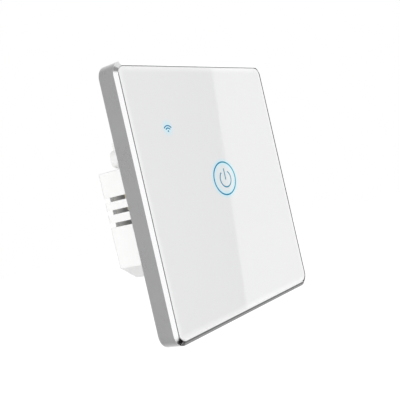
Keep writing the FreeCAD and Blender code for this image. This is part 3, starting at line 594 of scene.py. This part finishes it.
# White mouldings: the case and the base plate are moulded from stiff, flame-retardant plastic, and so
# is the ring that carries the glass. The tool leaves a fine, even spark texture on them, and a faint
# drift where the plastic flowed.
def moulded_plastic(name, dark, light, roughness, spark=2600.0, shade_and_glow_paint=None):
    """Moulded plastic, its two colours drifting into each other under a fine spark texture.

    The last argument gives, for a place, how far the plastic is painted grey there as painted shade, and
    how bright a painted glow it gives off.
    """
    material, shader, start = start_finish(name)
    place, x, y, z = measured(start)
    flow = noise(start, place, 110.0, 3.0)
    grain = noise(start, place, spark, 2.0)
    colour = flow.blend(dark, light)
    if shade_and_glow_paint:
        painted_grey, lit = shade_and_glow_paint(x, y, z)
        # Painted shade turns the colour towards grey, and the painted glow is given off as emission.
        colour = painted_grey.blend(colour, (0.25, 0.25, 0.25))
        set_sockets(shader, {
            "Emission Color": lit.blend((0, 0, 0), (1, 1, 1)),
            "Emission Strength": 1.0,
        })
    set_sockets(shader, {
        "Base Color": colour,
        "Roughness": roughness - 0.06 + 0.12 * flow,
        "Normal": raised_by(start, grain, 0.25, 0.02),
    })
    return material


def box_in_mm(node):
    """A node's lowest and highest corners, in millimetres."""
    return tuple(Vector(corner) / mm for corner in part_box(node))


case_low, case_high = box_in_mm("rear_housing")
case_radius = 0.22
shoulder_z = 13.5
boss_foot = 0.15
boss_inner_x = 15.2
back_edge_side = 0.82
back_edge_rear = 0.70
case_skin = 0.08
inside_rear = 0.9
inside_top = 0.4
inside_foot = 5.0
slot_bottom_x = 21.8
slot_bottom_reach = 0.1
slots_half_height = 6.0
inside_pale_from = 17.5
inside_light = 0.05
slots_more_light = 0.13
boss_grey = 0.06
edge_grey = 0.22
inside_grey = 0.40
slot_bottom_grey = 0.75


def case_painted_shade_and_glow(x, y, z):
    """Painted shade and painted light: the bosses, the back and top edges, the insides and the slot bottoms
    are painted greyer as shade, and the insides glow with painted light, more near the slots.
    """
    on_boss = (z > shoulder_z + boss_foot) * (abs(x) > boss_inner_x)
    back_edge = (abs(x) > case_high.x - back_edge_side) * (y > case_high.y - back_edge_rear)
    top_edge = (abs(x) > case_high.x - case_radius) * (abs(z - shoulder_z) < case_radius)
    at_edge = x.math("MAXIMUM", back_edge, top_edge)
    inside = (abs(x) < case_high.x - case_skin) * (y < case_high.y - inside_rear)
    inside = inside * (z < shoulder_z - inside_top) * (z > case_low.z + inside_foot)
    slot_bottom = (abs(abs(x) - slot_bottom_x) < slot_bottom_reach) * (y < case_high.y - case_skin)
    slot_bottom = slot_bottom * (abs(z) < slots_half_height)
    near_slots = ((abs(x) - inside_pale_from) / (slot_bottom_x - inside_pale_from)).clamped()
    lit = inside * (inside_light + slots_more_light * near_slots) * (1.0 - slot_bottom)
    grey = x.math("MAXIMUM", boss_grey * on_boss, edge_grey * at_edge)
    grey = x.math("MAXIMUM", grey, inside_grey * inside)
    return x.math("MAXIMUM", grey, slot_bottom_grey * slot_bottom), lit


case_white = moulded_plastic("case_white", (0.94, 0.94, 0.935), (0.96, 0.96, 0.955), 0.46,
                             shade_and_glow_paint=case_painted_shade_and_glow)
base_white = moulded_plastic("base_white", (0.87, 0.87, 0.86), (0.91, 0.91, 0.90), 0.42)
carrier_white = moulded_plastic("carrier_white", (0.82, 0.82, 0.80), (0.87, 0.87, 0.85), 0.38)
stand_in(copy_of("rear_housing"), "case_shell", case_white, "rear_housing", case_radius * mm)
stand_in(copy_of("base_plate"), "base_moulding", base_white, "base_plate", 0.12 * mm)
stand_in(copy_of("panel_carrier"), "carrier_ring", carrier_white, "panel_carrier", 0.12 * mm)


# Screws of zinc-plated steel, pressed and rolled, each with a round head and a cross recess. Two long
# ones pull the case onto the base plate, and two short ones hold the touch board.
case_screw_head = 2.1
case_screw_head_height = 1.6
case_screw_thread = 1.25
case_screw_pitch = 0.8
board_screw_head = 1.8
board_screw_head_height = 0.8
board_screw_thread = 0.95
board_screw_pitch = 0.6
core_share = 0.8
ridge_share = 0.84
ridge_root = 0.05
plain_end = 0.3
thread_steps = 14
shank_band = (0.9, 1.02)
shank_slack = 0.02
recess_taper = 0.7
flat_normal = 0.9
face_slack = 0.05


def plated_steel(name, dark, light):
    """Zinc or tin on metal: a crystalline plating, a little dulled where it was handled."""
    material, shader, start = start_finish(name)
    place = point_on(start)
    crystals = cells_over(start, place, 2400.0)
    wear = noise(start, place, 700.0, 5.0)
    set_sockets(shader, {
        "Base Color": (0.6 * wear + 0.4 * crystals).clamped().blend(dark, light),
        "Metallic": 1.0,
        "Roughness": 0.20 + 0.25 * wear,
        "Normal": raised_by(start, wear, 0.2, 0.01),
    })
    return material


zinc_steel = plated_steel("zinc_steel", (0.58, 0.59, 0.62), (0.80, 0.81, 0.82))


def wound_thread(mesh, center, ends, radius, pitch):
    """Narrows a shank between its two ends to a core, and winds a ridge of that radius round it."""
    axis = Vector((center[0] * mm, 0, center[1] * mm))
    shank = []
    for vert in mesh.verts:
        on_level = min(ends) - shank_slack < vert.co.y / mm < max(ends) + shank_slack
        out = (vert.co - axis).xz.length / mm
        if on_level and shank_band[0] * radius < out < shank_band[1] * radius:
            shank.append(vert)
    bmesh.ops.scale(mesh, verts=shank, vec=(core_share, 1, core_share), space=Matrix.Translation(-axis))
    root = core_share * radius - ridge_root
    low = min(ends) + plain_end
    corners = ((root, 0), (radius, ridge_share / 2 * pitch), (root, ridge_share * pitch))
    verts = [mesh.verts.new(axis + Vector((out * mm, (low + up) * mm, 0))) for out, up in corners]
    edges = [mesh.edges.new((verts[number], verts[(number + 1) % 3])) for number in range(3)]
    turns = (max(ends) - min(ends) - 2 * plain_end - pitch) / pitch
    count = int(turns * thread_steps)
    sweep = math.tau * count / thread_steps
    bmesh.ops.spin(mesh, geom=verts + edges, cent=axis, axis=(0, 1, 0), angle=sweep, steps=count,
                   dvec=(0, pitch / thread_steps * mm, 0))
    bmesh.ops.holes_fill(mesh, edges=[edge for edge in mesh.edges if edge.is_boundary])


def cross_recess(mesh, center, face_y, deep, long_side, wide_side):
    """Presses a cross into the flat of a screw's head, its floor a little smaller than its mouth."""
    arms = ((long_side, wide_side), (wide_side, long_side))
    axis = Vector((center[0] * mm, 0, center[1] * mm))
    for half in (long_side, wide_side):
        for across in (Vector((1, 0, 0)), Vector((0, 0, 1))):
            for way in (-1, 1):
                whole = mesh.verts[:] + mesh.edges[:] + mesh.faces[:]
                cut = axis + across * way * half * mm
                bmesh.ops.bisect_plane(mesh, geom=whole, dist=1e-7, plane_co=cut, plane_no=across)
    inside = []
    for face in mesh.faces:
        middle = face.calc_center_median()
        out = (abs(middle.x / mm - center[0]), abs(middle.z / mm - center[1]))
        within = any(out[0] < wide and out[1] < high for wide, high in arms)
        if within and abs(face.normal.y) > flat_normal and abs(middle.y / mm - face_y) < face_slack:
            inside.append(face)
    pushed = bmesh.ops.extrude_face_region(mesh, geom=inside)
    floor_verts = [part for part in pushed["geom"] if isinstance(part, bmesh.types.BMVert)]
    bmesh.ops.translate(mesh, verts=floor_verts, vec=(0, deep * mm, 0))
    bmesh.ops.scale(mesh, verts=floor_verts, vec=(recess_taper, 1, recess_taper),
                    space=Matrix.Translation(-axis))


mesh = copy_of("housing_screws")
low, high = box_in_mm("housing_screws")
shank = (low.y, high.y - case_screw_head_height)
for side in (-1, 1):
    center = (side * (high.x - case_screw_head), high.z - case_screw_head)
    cross_recess(mesh, center, high.y, deep=-1.0, long_side=1.25, wide_side=0.32)
    wound_thread(mesh, center, shank, case_screw_thread, case_screw_pitch)
bmesh.ops.recalc_face_normals(mesh, faces=mesh.faces)
stand_in(mesh, "case_screws", zinc_steel, "housing_screws", 0.06 * mm, sharp=40)
mesh = copy_of("board_screws")
low, high = box_in_mm("board_screws")
shank = (low.y + board_screw_head_height, high.y)
low_left = (low.x + board_screw_head, low.z + board_screw_head)
high_right = (high.x - board_screw_head, high.z - board_screw_head)
for center in (low_left, high_right):
    cross_recess(mesh, center, low.y, deep=0.5, long_side=1.0, wide_side=0.27)
    wound_thread(mesh, center, shank, board_screw_thread, board_screw_pitch)
bmesh.ops.recalc_face_normals(mesh, faces=mesh.faces)
stand_in(mesh, "small_screws", zinc_steel, "board_screws", 0.05 * mm, sharp=40)


# The touch board: glass-fibre laminate with green solder mask over copper tracks. A gilded ring lies
# open round the power sign for the foam, and rows of small parts are soldered on its front.
track_width = 0.03
via_radius = 0.085
level_tracks_over = 0.52
upright_tracks_under = 0.46
mask_thickness = 0.02
electrode_radius = 8.6
electrode_half = 1.5


def laminate(name, faces, dark, light, gilded):
    """Circuit board between two levels y: tracks under solder mask, bare glass fibre on its edges.

    gilded gives 1 where the copper lies open under gold, as on the vias.
    """
    material, shader, start = start_finish(name)
    place, x, y, z = measured(start)

    def tracks(along, across):
        """The joints of a brick pattern, which look like tracks that run one way."""
        flat = start.node("ShaderNodeCombineXYZ", None, {"X": along, "Y": across})
        layout = {"offset": 0.37, "offset_frequency": 2, "squash": 0.55, "squash_frequency": 3}
        sizes = {"Vector": flat, "Scale": 0.2, "Mortar Size": track_width, "Mortar Smooth": 0.1,
                 "Brick Width": 3.6, "Row Height": 0.2}
        return start.node("ShaderNodeTexBrick", layout, sizes, "Fac")

    zones = noise(start, place, 120.0, 1.0)
    copper = (zones > level_tracks_over) * tracks(x, z) + (zones < upright_tracks_under) * tracks(z, x)
    flat = start.node("ShaderNodeCombineXYZ", None, {"X": x, "Y": z})
    dots = start.node("ShaderNodeTexVoronoi", None, {"Vector": flat, "Scale": 0.30, "Randomness": 0.8})
    middle, half = (faces[0] + faces[1]) / 2, (faces[1] - faces[0]) / 2
    edge = abs(y - middle) < half - mask_thickness
    bare = start.math("MAXIMUM", dots < via_radius, gilded(start, x, z)) * (1.0 - edge)
    masked = (0.25 * zones + 0.7 * copper).clamped().blend(dark, light)
    weave = start.node("ShaderNodeTexWave", None, {"Vector": place, "Scale": 900.0, "Distortion": 1.0})
    fibre = weave.blend((0.30, 0.29, 0.21), (0.42, 0.40, 0.30))
    set_sockets(shader, {
        "Base Color": edge.blend(bare.blend(masked, (0.80, 0.62, 0.28)), fibre),
        "Metallic": bare,
        "Roughness": 0.34 + 0.40 * edge - 0.08 * bare,
        "Normal": raised_by(start, copper, 0.5, 0.03),
    })
    return material


def faces_of(node):
    """The levels y of a board's two faces, in millimetres."""
    return tuple(corner[1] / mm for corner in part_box(node))


def electrode(start, x, z):
    """The gilded ring, a little wider than the foam that stands on it."""
    return abs(away_from(start, x, z, ring_place) - electrode_radius) < electrode_half


dress("touch_board", laminate("touch_laminate", faces_of("touch_board"), (0.010, 0.075, 0.032),
                              (0.030, 0.170, 0.070), electrode))

part_front = faces_of("touch_board")[0]
part_width = 0.8
part_height = 0.5
part_length = 1.2
part_end = 0.35
end_middle = 0.68
end_overlap = 0.03
small_parts = [
    (-20.5, 8.0, 0), (-20.5, 5.6, 0), (-20.5, 3.2, 0), (-16.5, 12.4, 90), (-14.1, 12.4, 90),
    (-11.7, 12.4, 90), (14.0, 14.6, 0), (14.0, 12.2, 0), (17.8, 14.6, 0), (17.8, 12.2, 0),
    (14.4, -3.0, 90), (16.8, -3.0, 90), (19.2, -3.0, 90), (-12.0, -12.5, 0), (-8.0, -12.5, 0),
    (-4.0, -12.5, 0), (20.0, 18.6, 90), (-18.0, 18.8, 0), (-14.0, 18.8, 0), (8.6, -16.5, 0),
    (12.6, -16.5, 0), (-20.5, -8.2, 90), (-18.1, -8.2, 90),
]


def small_blocks(mesh, length, width, height, offsets):
    """A block on the touch board for every small part, at each offset along the part."""
    for x, z, angle in small_parts:
        turn = Matrix.Rotation(math.radians(angle), 4, "Y")
        spot = Matrix.Translation((x * mm, part_front * mm, z * mm)) @ turn
        for offset in offsets:
            size = Matrix.Diagonal((length * mm, height * mm, width * mm, 1))
            middle = Matrix.Translation((offset * mm, -height / 2 * mm, 0))
            bmesh.ops.create_cube(mesh, size=1, matrix=spot @ middle @ size)
    bmesh.ops.bevel(mesh, geom=mesh.edges[:], affect="EDGES", offset=0.04 * mm, segments=2, profile=0.5,
                    material=-1)


def board_piece(mesh, name, finish):
    """Puts a piece that stays with the base in the scene, in that finish."""
    piece = piece_from(mesh, name, finish)
    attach(piece, "base")


black_epoxy = moulded_plastic("black_epoxy", (0.016, 0.016, 0.018), (0.030, 0.030, 0.032), 0.42)
bright_tin = plated_steel("bright_tin", (0.70, 0.70, 0.68), (0.88, 0.88, 0.86))
mesh = bmesh.new()
small_blocks(mesh, part_length, part_width, part_height, (0,))
board_piece(mesh, "small_part_bodies", black_epoxy)
mesh = bmesh.new()
small_blocks(mesh, part_end, part_width + 2 * end_overlap, part_height + end_overlap,
             (-end_middle, end_middle))
board_piece(mesh, "small_part_ends", bright_tin)


# The touch ring and the light guides: die-cut conductive foam round a clear moulded disc, and a small
# clear block behind the wireless sign. The lamps behind them are soldered to the touch board.
contact_foam, shader, start = start_finish("contact_foam")
cells = cells_over(start, point_on(start), 4200.0)
set_sockets(shader, {
    "Base Color": cells.blend((0.015, 0.015, 0.016), (0.075, 0.075, 0.08)),
    "Roughness": 0.85,
    "Normal": raised_by(start, cells, 0.8, 0.08),
})
dress("touch_contact", contact_foam)

milky_clear, shader, start = start_finish("milky_clear")
haze = noise(start, point_on(start), 260.0, 3.0)
set_sockets(shader, {
    "Base Color": haze.blend((0.78, 0.86, 0.90), (0.90, 0.94, 0.96)),
    "Roughness": 0.14 + 0.2 * haze,
    "Alpha": 0.62 + 0.25 * haze,
    "Coat Weight": 0.4,
    "Normal": raised_by(start, haze, 0.15, 0.03),
})
for node in ("ring_light_guide", "wireless_light_guide"):
    dress(node, milky_clear)

lens_depth = 0.12
lamp_body, shader, start = start_finish("lamp_body")
place, _, y, _ = measured(start)
lamp_lens = y < faces_of("indicator_leds")[0] + lens_depth
phosphor = noise(start, place, 3000.0, 3.0).blend((0.86, 0.66, 0.12), (0.95, 0.80, 0.25))
set_sockets(shader, {
    "Base Color": lamp_lens.blend((0.86, 0.86, 0.83), phosphor),
    "Roughness": 0.5 - 0.3 * lamp_lens,
    "Emission Color": lamp_lens.blend((0, 0, 0), (0.05, 0.22, 0.35)),
    "Emission Strength": 1.0,
})
dress("indicator_leds", lamp_body)


# The touch controller: a black moulded package with tinned gull legs along its two long sides.
# A round dimple beside one corner marks its first leg.
chip_body_half = 1.955
dimple_inset = (1.0, 1.9)
dimple_radius = 0.4


def moulded_on_leads(name, dark, light, roughness, is_lead, dimple=None):
    """A moulded part whose leads are tinned: is_lead gives 1 on the leads from x, y and z."""
    material, shader, start = start_finish(name)
    place, x, y, z = measured(start)
    lead = is_lead(x, y, z)
    flow = noise(start, place, 160.0, 3.0)
    grain = noise(start, place, 2800.0, 2.0)
    height = grain if dimple is None else grain - 8.0 * (away_from(start, x, z, dimple) < dimple_radius)
    tin = grain.blend((0.66, 0.66, 0.64), (0.86, 0.86, 0.84))
    set_sockets(shader, {
        "Base Color": lead.blend(flow.blend(dark, light), tin),
        "Metallic": lead,
        "Roughness": roughness + 0.1 * flow - (roughness - 0.25) * lead,
        "Normal": raised_by(start, height, 0.3, 0.02),
    })
    return material


chip_low, chip_high = box_in_mm("touch_controller_chip")
chip_middle = (chip_low.z + chip_high.z) / 2
dress("touch_controller_chip", moulded_on_leads(
    "chip_finish", (0.014, 0.014, 0.016), (0.026, 0.026, 0.028), 0.5,
    lambda x, y, z: abs(z - chip_middle) > chip_body_half,
    (chip_high.x - dimple_inset[0], chip_high.z - dimple_inset[1])))


# The radio module: a small blue board with a gilded meander for its aerial, open at the upper end.
# Its circuit sits under a can pressed from tinned sheet, which has a row of small holes.
module_low, module_high = box_in_mm("radio_module")
aerial_line = 0.5
aerial_step = 2.0
aerial_half = 5.2
aerial_span = (0.5, 4.7)


def aerial(start, x, z):
    """The meander: upright strips joined at their tops and feet by turns."""
    strip = start.math("PINGPONG", x - module_low.x, aerial_step / 2) < aerial_line / 2
    side = start.math("WRAP", x - module_low.x, 0.0, 2 * aerial_step) > aerial_step
    under_end = module_high.z - z
    top, foot = under_end < aerial_span[0] + aerial_line, under_end > aerial_span[1] - aerial_line
    turn = start.math("MAXIMUM", side * top, (1.0 - side) * foot)
    kept = (under_end > aerial_span[0]) * (under_end < aerial_span[1])
    kept = kept * (abs(x - (module_low.x + module_high.x) / 2) < aerial_half)
    return start.math("MAXIMUM", strip, turn) * kept


dress("radio_module", laminate("radio_laminate", faces_of("radio_module"), (0.008, 0.030, 0.095),
                               (0.020, 0.070, 0.170), aerial))

can_low, can_high = box_in_mm("radio_shield")
can_middle = (can_low + can_high) / 2
can_sides = (can_high.z - can_low.z) / (can_high.x - can_low.x)
can_crown = 5.6
can_round = 0.4
hole_step = 1.4
hole_radius = 0.35
hole_row = 1.6
hole_depth = 0.3
tinned_sheet, shader, start = start_finish("tinned_sheet")
place, x, y, z = measured(start)
rolled = start.node("ShaderNodeMapping", None, {"Vector": place, "Scale": (400.0, 400.0, 6000.0)})
streaks = noise(start, rolled, 1.0, 2.0)
across = start.math("PINGPONG", x - can_low.x, hole_step)
from_hole = away_from(start, across, z, (hole_step / 2, can_high.z - hole_row))
# The holes are not cut: they are painted near-black, as painted shade inside them.
painted_dark_holes = (from_hole < hole_radius) * (y > can_high.y - hole_depth)
rim = start.math("MAXIMUM", abs(x - can_middle.x) * can_sides, abs(z - can_middle.z))
pressed = start.math("SMOOTH_MIN", 0.0 - rim, -can_crown, can_round)
sheet_tin = streaks.blend((0.62, 0.62, 0.61), (0.80, 0.80, 0.79))
set_sockets(shader, {
    "Base Color": painted_dark_holes.blend(sheet_tin, (0.01, 0.01, 0.01)),
    "Metallic": 1.0 - painted_dark_holes,
    "Roughness": 0.24 + 0.18 * streaks,
    "Normal": raised_by(start, pressed + 0.05 * streaks, 0.6, 0.2),
})
dress("radio_shield", tinned_sheet)


# The plug between the boards: tinned square pins in a black bar, and a socket that takes them.
# The bar's foot lies on the touch board, and the socket is soldered to the power board.
bar_depth = 2.5
lead_clear = 0.02
bar_center = faces_of("touch_board")[1] + bar_depth / 2
board_front, board_rear = faces_of("power_board")
dress("board_header", moulded_on_leads(
    "header_finish", (0.010, 0.010, 0.010), (0.020, 0.020, 0.020), 0.45,
    lambda x, y, z: abs(y - bar_center) > bar_depth / 2 + lead_clear))
dress("header_socket", moulded_on_leads(
    "socket_finish", (0.012, 0.012, 0.012), (0.024, 0.024, 0.024), 0.45,
    lambda x, y, z: y > board_front + lead_clear))


# The power board: thicker laminate cut to the case's inside. Every lead goes through it and ends on
# the other face in a cone of solder.
def no_gold(start, x, z):
    """0 everywhere: only the vias of this board lie open."""
    return 0.0


dress("power_board", laminate("power_laminate", (board_front, board_rear), (0.012, 0.085, 0.040),
                              (0.040, 0.185, 0.080), no_gold))
solder = plated_steel("solder", (0.66, 0.66, 0.65), (0.84, 0.84, 0.83))
lead_group = 1.8 * mm
lead_slack = 0.02 * mm
joint_steps = 20
joint_outline = ((0, 0.06), (0.98, 0.06), (0.86, -0.16), (0.62, -0.52), (0.50, -0.86), (0.40, -1.0),
                 (0, -1.02))
parts_with_leads = ("relay", "transformer_bobbin", "input_capacitor", "output_capacitor",
                    "surge_varistor", "fuse", "choke", "terminal_bars")


def lead_ends(node, level):
    """The middles of a part's leads where they end at that level, grouped corner by corner."""
    corners = {tuple(round(value, 6) for value in vert.co)
               for vert in frame["nodes"][node].data.vertices if abs(vert.co.y - level) < lead_slack}
    middles = []
    left = [Vector(corner) for corner in sorted(corners)]
    while left:
        group = [corner for corner in left if (corner - left[0]).length < lead_group]
        left = [corner for corner in left if corner not in group]
        middles.append(sum(group, Vector()) / len(group))
    return middles


def turned(mesh, center, level, outline):
    """A closed turned shape about an axis along y, from its outline of (radius, y) in millimetres."""
    verts = [mesh.verts.new((center.x + out * mm, level + up * mm, center.z)) for out, up in outline]
    edges = [mesh.edges.new(two) for two in zip(verts, verts[1:])]
    bmesh.ops.spin(mesh, geom=verts + edges, cent=(center.x, 0, center.z), axis=(0, 1, 0),
                   angle=math.tau, steps=joint_steps, use_merge=True)


mesh = bmesh.new()
for node in parts_with_leads:
    for middle in lead_ends(node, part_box(node)[0][1]):
        turned(mesh, middle, board_front * mm, joint_outline)
for middle in lead_ends("header_socket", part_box("header_socket")[1][1]):
    turned(mesh, middle, board_rear * mm, [(out, -up) for out, up in joint_outline])
bmesh.ops.remove_doubles(mesh, verts=mesh.verts, dist=weld_distance)
bmesh.ops.recalc_face_normals(mesh, faces=mesh.faces)
for face in mesh.faces:
    face.smooth = True
board_piece(mesh, "solder_joints", solder)


# The relay: coil and contacts sealed in a blue moulded cover, stood on five pins.
# Its body, like those of the other parts here, begins a little behind the board's rear face, and only
# leads show below that.
foot_level = board_rear + 0.29


def below_foot(x, y, z):
    """1 on the leads of a part that stands a little off the board."""
    return y < foot_level


dress("relay", moulded_on_leads("relay_finish", (0.012, 0.060, 0.240), (0.020, 0.085, 0.300), 0.36,
                                below_foot))


# The transformer: a ferrite core pressed from powder and held by a band of pale tape, a black bobbin
# with four pins, and windings under yellow polyester tape.
core_low, core_high = box_in_mm("transformer_core")
tape_half = 2.9
core_skin = 0.05
ferrite, shader, start = start_finish("ferrite")
place, x, _, z = measured(start)
powder = cells_over(start, place, 5200.0)
at_sides = start.math("MAXIMUM", x < core_low.x + core_skin, x > core_high.x - core_skin)
taped = at_sides * (abs(z - (core_low.z + core_high.z) / 2) < tape_half)
grey = powder.blend((0.020, 0.020, 0.023), (0.060, 0.060, 0.066))
set_sockets(shader, {
    "Base Color": taped.blend(grey, (0.86, 0.80, 0.58)),
    "Roughness": 0.40 + 0.25 * powder - 0.2 * taped,
    "Normal": raised_by(start, powder, 0.3, 0.02),
})
dress("transformer_core", ferrite)
dress("transformer_bobbin", moulded_on_leads("bobbin_finish", (0.018, 0.018, 0.018),
                                             (0.032, 0.032, 0.032), 0.4, below_foot))

yellow_tape, shader, start = start_finish("yellow_tape")
wrapping = {"Vector": point_on(start), "Scale": 420.0, "Distortion": 1.2, "Detail Scale": 2.0}
layers = start.node("ShaderNodeTexWave", {"bands_direction": "Y"}, wrapping)
set_sockets(shader, {
    "Base Color": layers.blend((0.72, 0.50, 0.045), (0.84, 0.62, 0.085)),
    "Roughness": 0.2 + 0.12 * layers,
    "Coat Weight": 0.3,
    "Normal": raised_by(start, layers, 0.35, 0.06),
})
dress("transformer_winding", yellow_tape)


# The capacitors: aluminium cans in a dark sleeve with a pale stripe down one side. Their bare
# tops are scored with a cross, where they may vent.
score_half = 0.09
top_skin = 0.05
sleeve_lap = 0.6
stripe_share = 0.28


def sleeved_can(node, radius):
    """The finish of one upright can, from the middle of its box."""
    low, high = box_in_mm(node)
    center = ((low.x + high.x) / 2, (low.z + high.z) / 2)
    material, shader, start = start_finish(node + "_finish")
    place, x, y, z = measured(start)
    top = (y > high.y - top_skin) * (away_from(start, x, z, center) < radius - sleeve_lap)
    cross = start.math("MAXIMUM", abs(x - center[0]) < score_half, abs(z - center[1]) < score_half)
    stripe = (abs(x - center[0]) < stripe_share * radius) * (z > center[1])
    metal = start.math("MAXIMUM", top, below_foot(x, y, z))
    film = noise(start, place, 320.0, 2.0)
    dark_film = film.blend((0.012, 0.014, 0.024), (0.022, 0.024, 0.036))
    bare = film.blend((0.70, 0.70, 0.71), (0.82, 0.82, 0.83))
    set_sockets(shader, {
        "Base Color": metal.blend(stripe.blend(dark_film, (0.55, 0.56, 0.58)), bare),
        "Metallic": metal,
        "Roughness": 0.30 + 0.1 * film,
        "Coat Weight": 0.4 * (1.0 - metal),
        "Normal": raised_by(start, film - 3.0 * top * cross, 0.4, 0.05),
    })
    dress(node, material)


sleeved_can("input_capacitor", radius=4.0)
sleeved_can("output_capacitor", radius=3.15)


# The varistor, a disc dipped in blue epoxy, and the fuse, a ceramic tube with crimped metal caps.
# Both protect the mains input.
bare_wire = 0.8
fuse_tube_half = 2.92
dipped, shader, start = start_finish("dipped_epoxy")
place, _, y, _ = measured(start)
runs = noise(start, place, 420.0, 3.0)
wire = y < board_rear + bare_wire
epoxy = runs.blend((0.012, 0.080, 0.300), (0.022, 0.125, 0.400))
set_sockets(shader, {
    "Base Color": wire.blend(epoxy, (0.80, 0.80, 0.79)),
    "Metallic": wire,
    "Roughness": 0.22 + 0.1 * runs,
    "Coat Weight": 0.5 * (1.0 - wire),
    "Normal": raised_by(start, runs, 0.6, 0.12),
})
dress("surge_varistor", dipped)

fuse_low, fuse_high = box_in_mm("fuse")
fuse_middle = (fuse_low.x + fuse_high.x) / 2
dress("fuse", moulded_on_leads("fuse_finish", (0.58, 0.52, 0.40), (0.68, 0.62, 0.50), 0.5,
                               lambda x, y, z: abs(x - fuse_middle) > fuse_tube_half))


# The rectifier and the choke: a moulded package on four flat legs, and a ferrite drum with its
# winding under a black shrunk sleeve.
bridge_body_half = 2.42
bridge_dimple_inset = (1.5, 0.9)
bridge_low, bridge_high = box_in_mm("bridge_rectifier")
bridge_middle = (bridge_low.x + bridge_high.x) / 2
dress("bridge_rectifier", moulded_on_leads(
    "bridge_finish", (0.014, 0.014, 0.016), (0.028, 0.028, 0.030), 0.48,
    lambda x, y, z: x.math("MAXIMUM", abs(x - bridge_middle) > bridge_body_half, below_foot(x, y, z)),
    (bridge_high.x - bridge_dimple_inset[0], bridge_high.z - bridge_dimple_inset[1])))
dress("choke", moulded_on_leads("choke_finish", (0.010, 0.010, 0.010), (0.022, 0.022, 0.022), 0.30,
                                below_foot))


# The terminals: a grey moulded block with three chambers. In each, a pressed steel cage rides on a
# slotted screw and draws the wire against a bar of tinned copper.
clamp_screw_thread = 1.5
clamp_screw_pitch = 0.5
clamp_screw_head_height = 2.4
block_grey = moulded_plastic("block_grey", (0.30, 0.33, 0.35), (0.36, 0.39, 0.41), 0.44, spark=2200.0)
stand_in(copy_of("terminal_block"), "terminal_moulding", block_grey, "terminal_block", 0.12 * mm)
dress("terminal_bars", plated_steel("tinned_copper", (0.70, 0.66, 0.58), (0.84, 0.82, 0.76)))
for number in (1, 2, 3):
    cage = f"clamp_cage_{number}"
    stand_in(copy_of(cage), f"pressed_cage_{number}", zinc_steel, cage, 0.15 * mm, segments=3)
    screw = f"terminal_screw_{number}"
    mesh = copy_of(screw)
    low, high = box_in_mm(screw)
    center = ((low.x + high.x) / 2, (low.z + high.z) / 2)
    shank = (low.y, high.y - clamp_screw_head_height)
    wound_thread(mesh, center, shank, clamp_screw_thread, clamp_screw_pitch)
    bmesh.ops.recalc_face_normals(mesh, faces=mesh.faces)
    stand_in(mesh, f"slotted_screw_{number}", zinc_steel, screw, 0.06 * mm, sharp=40)
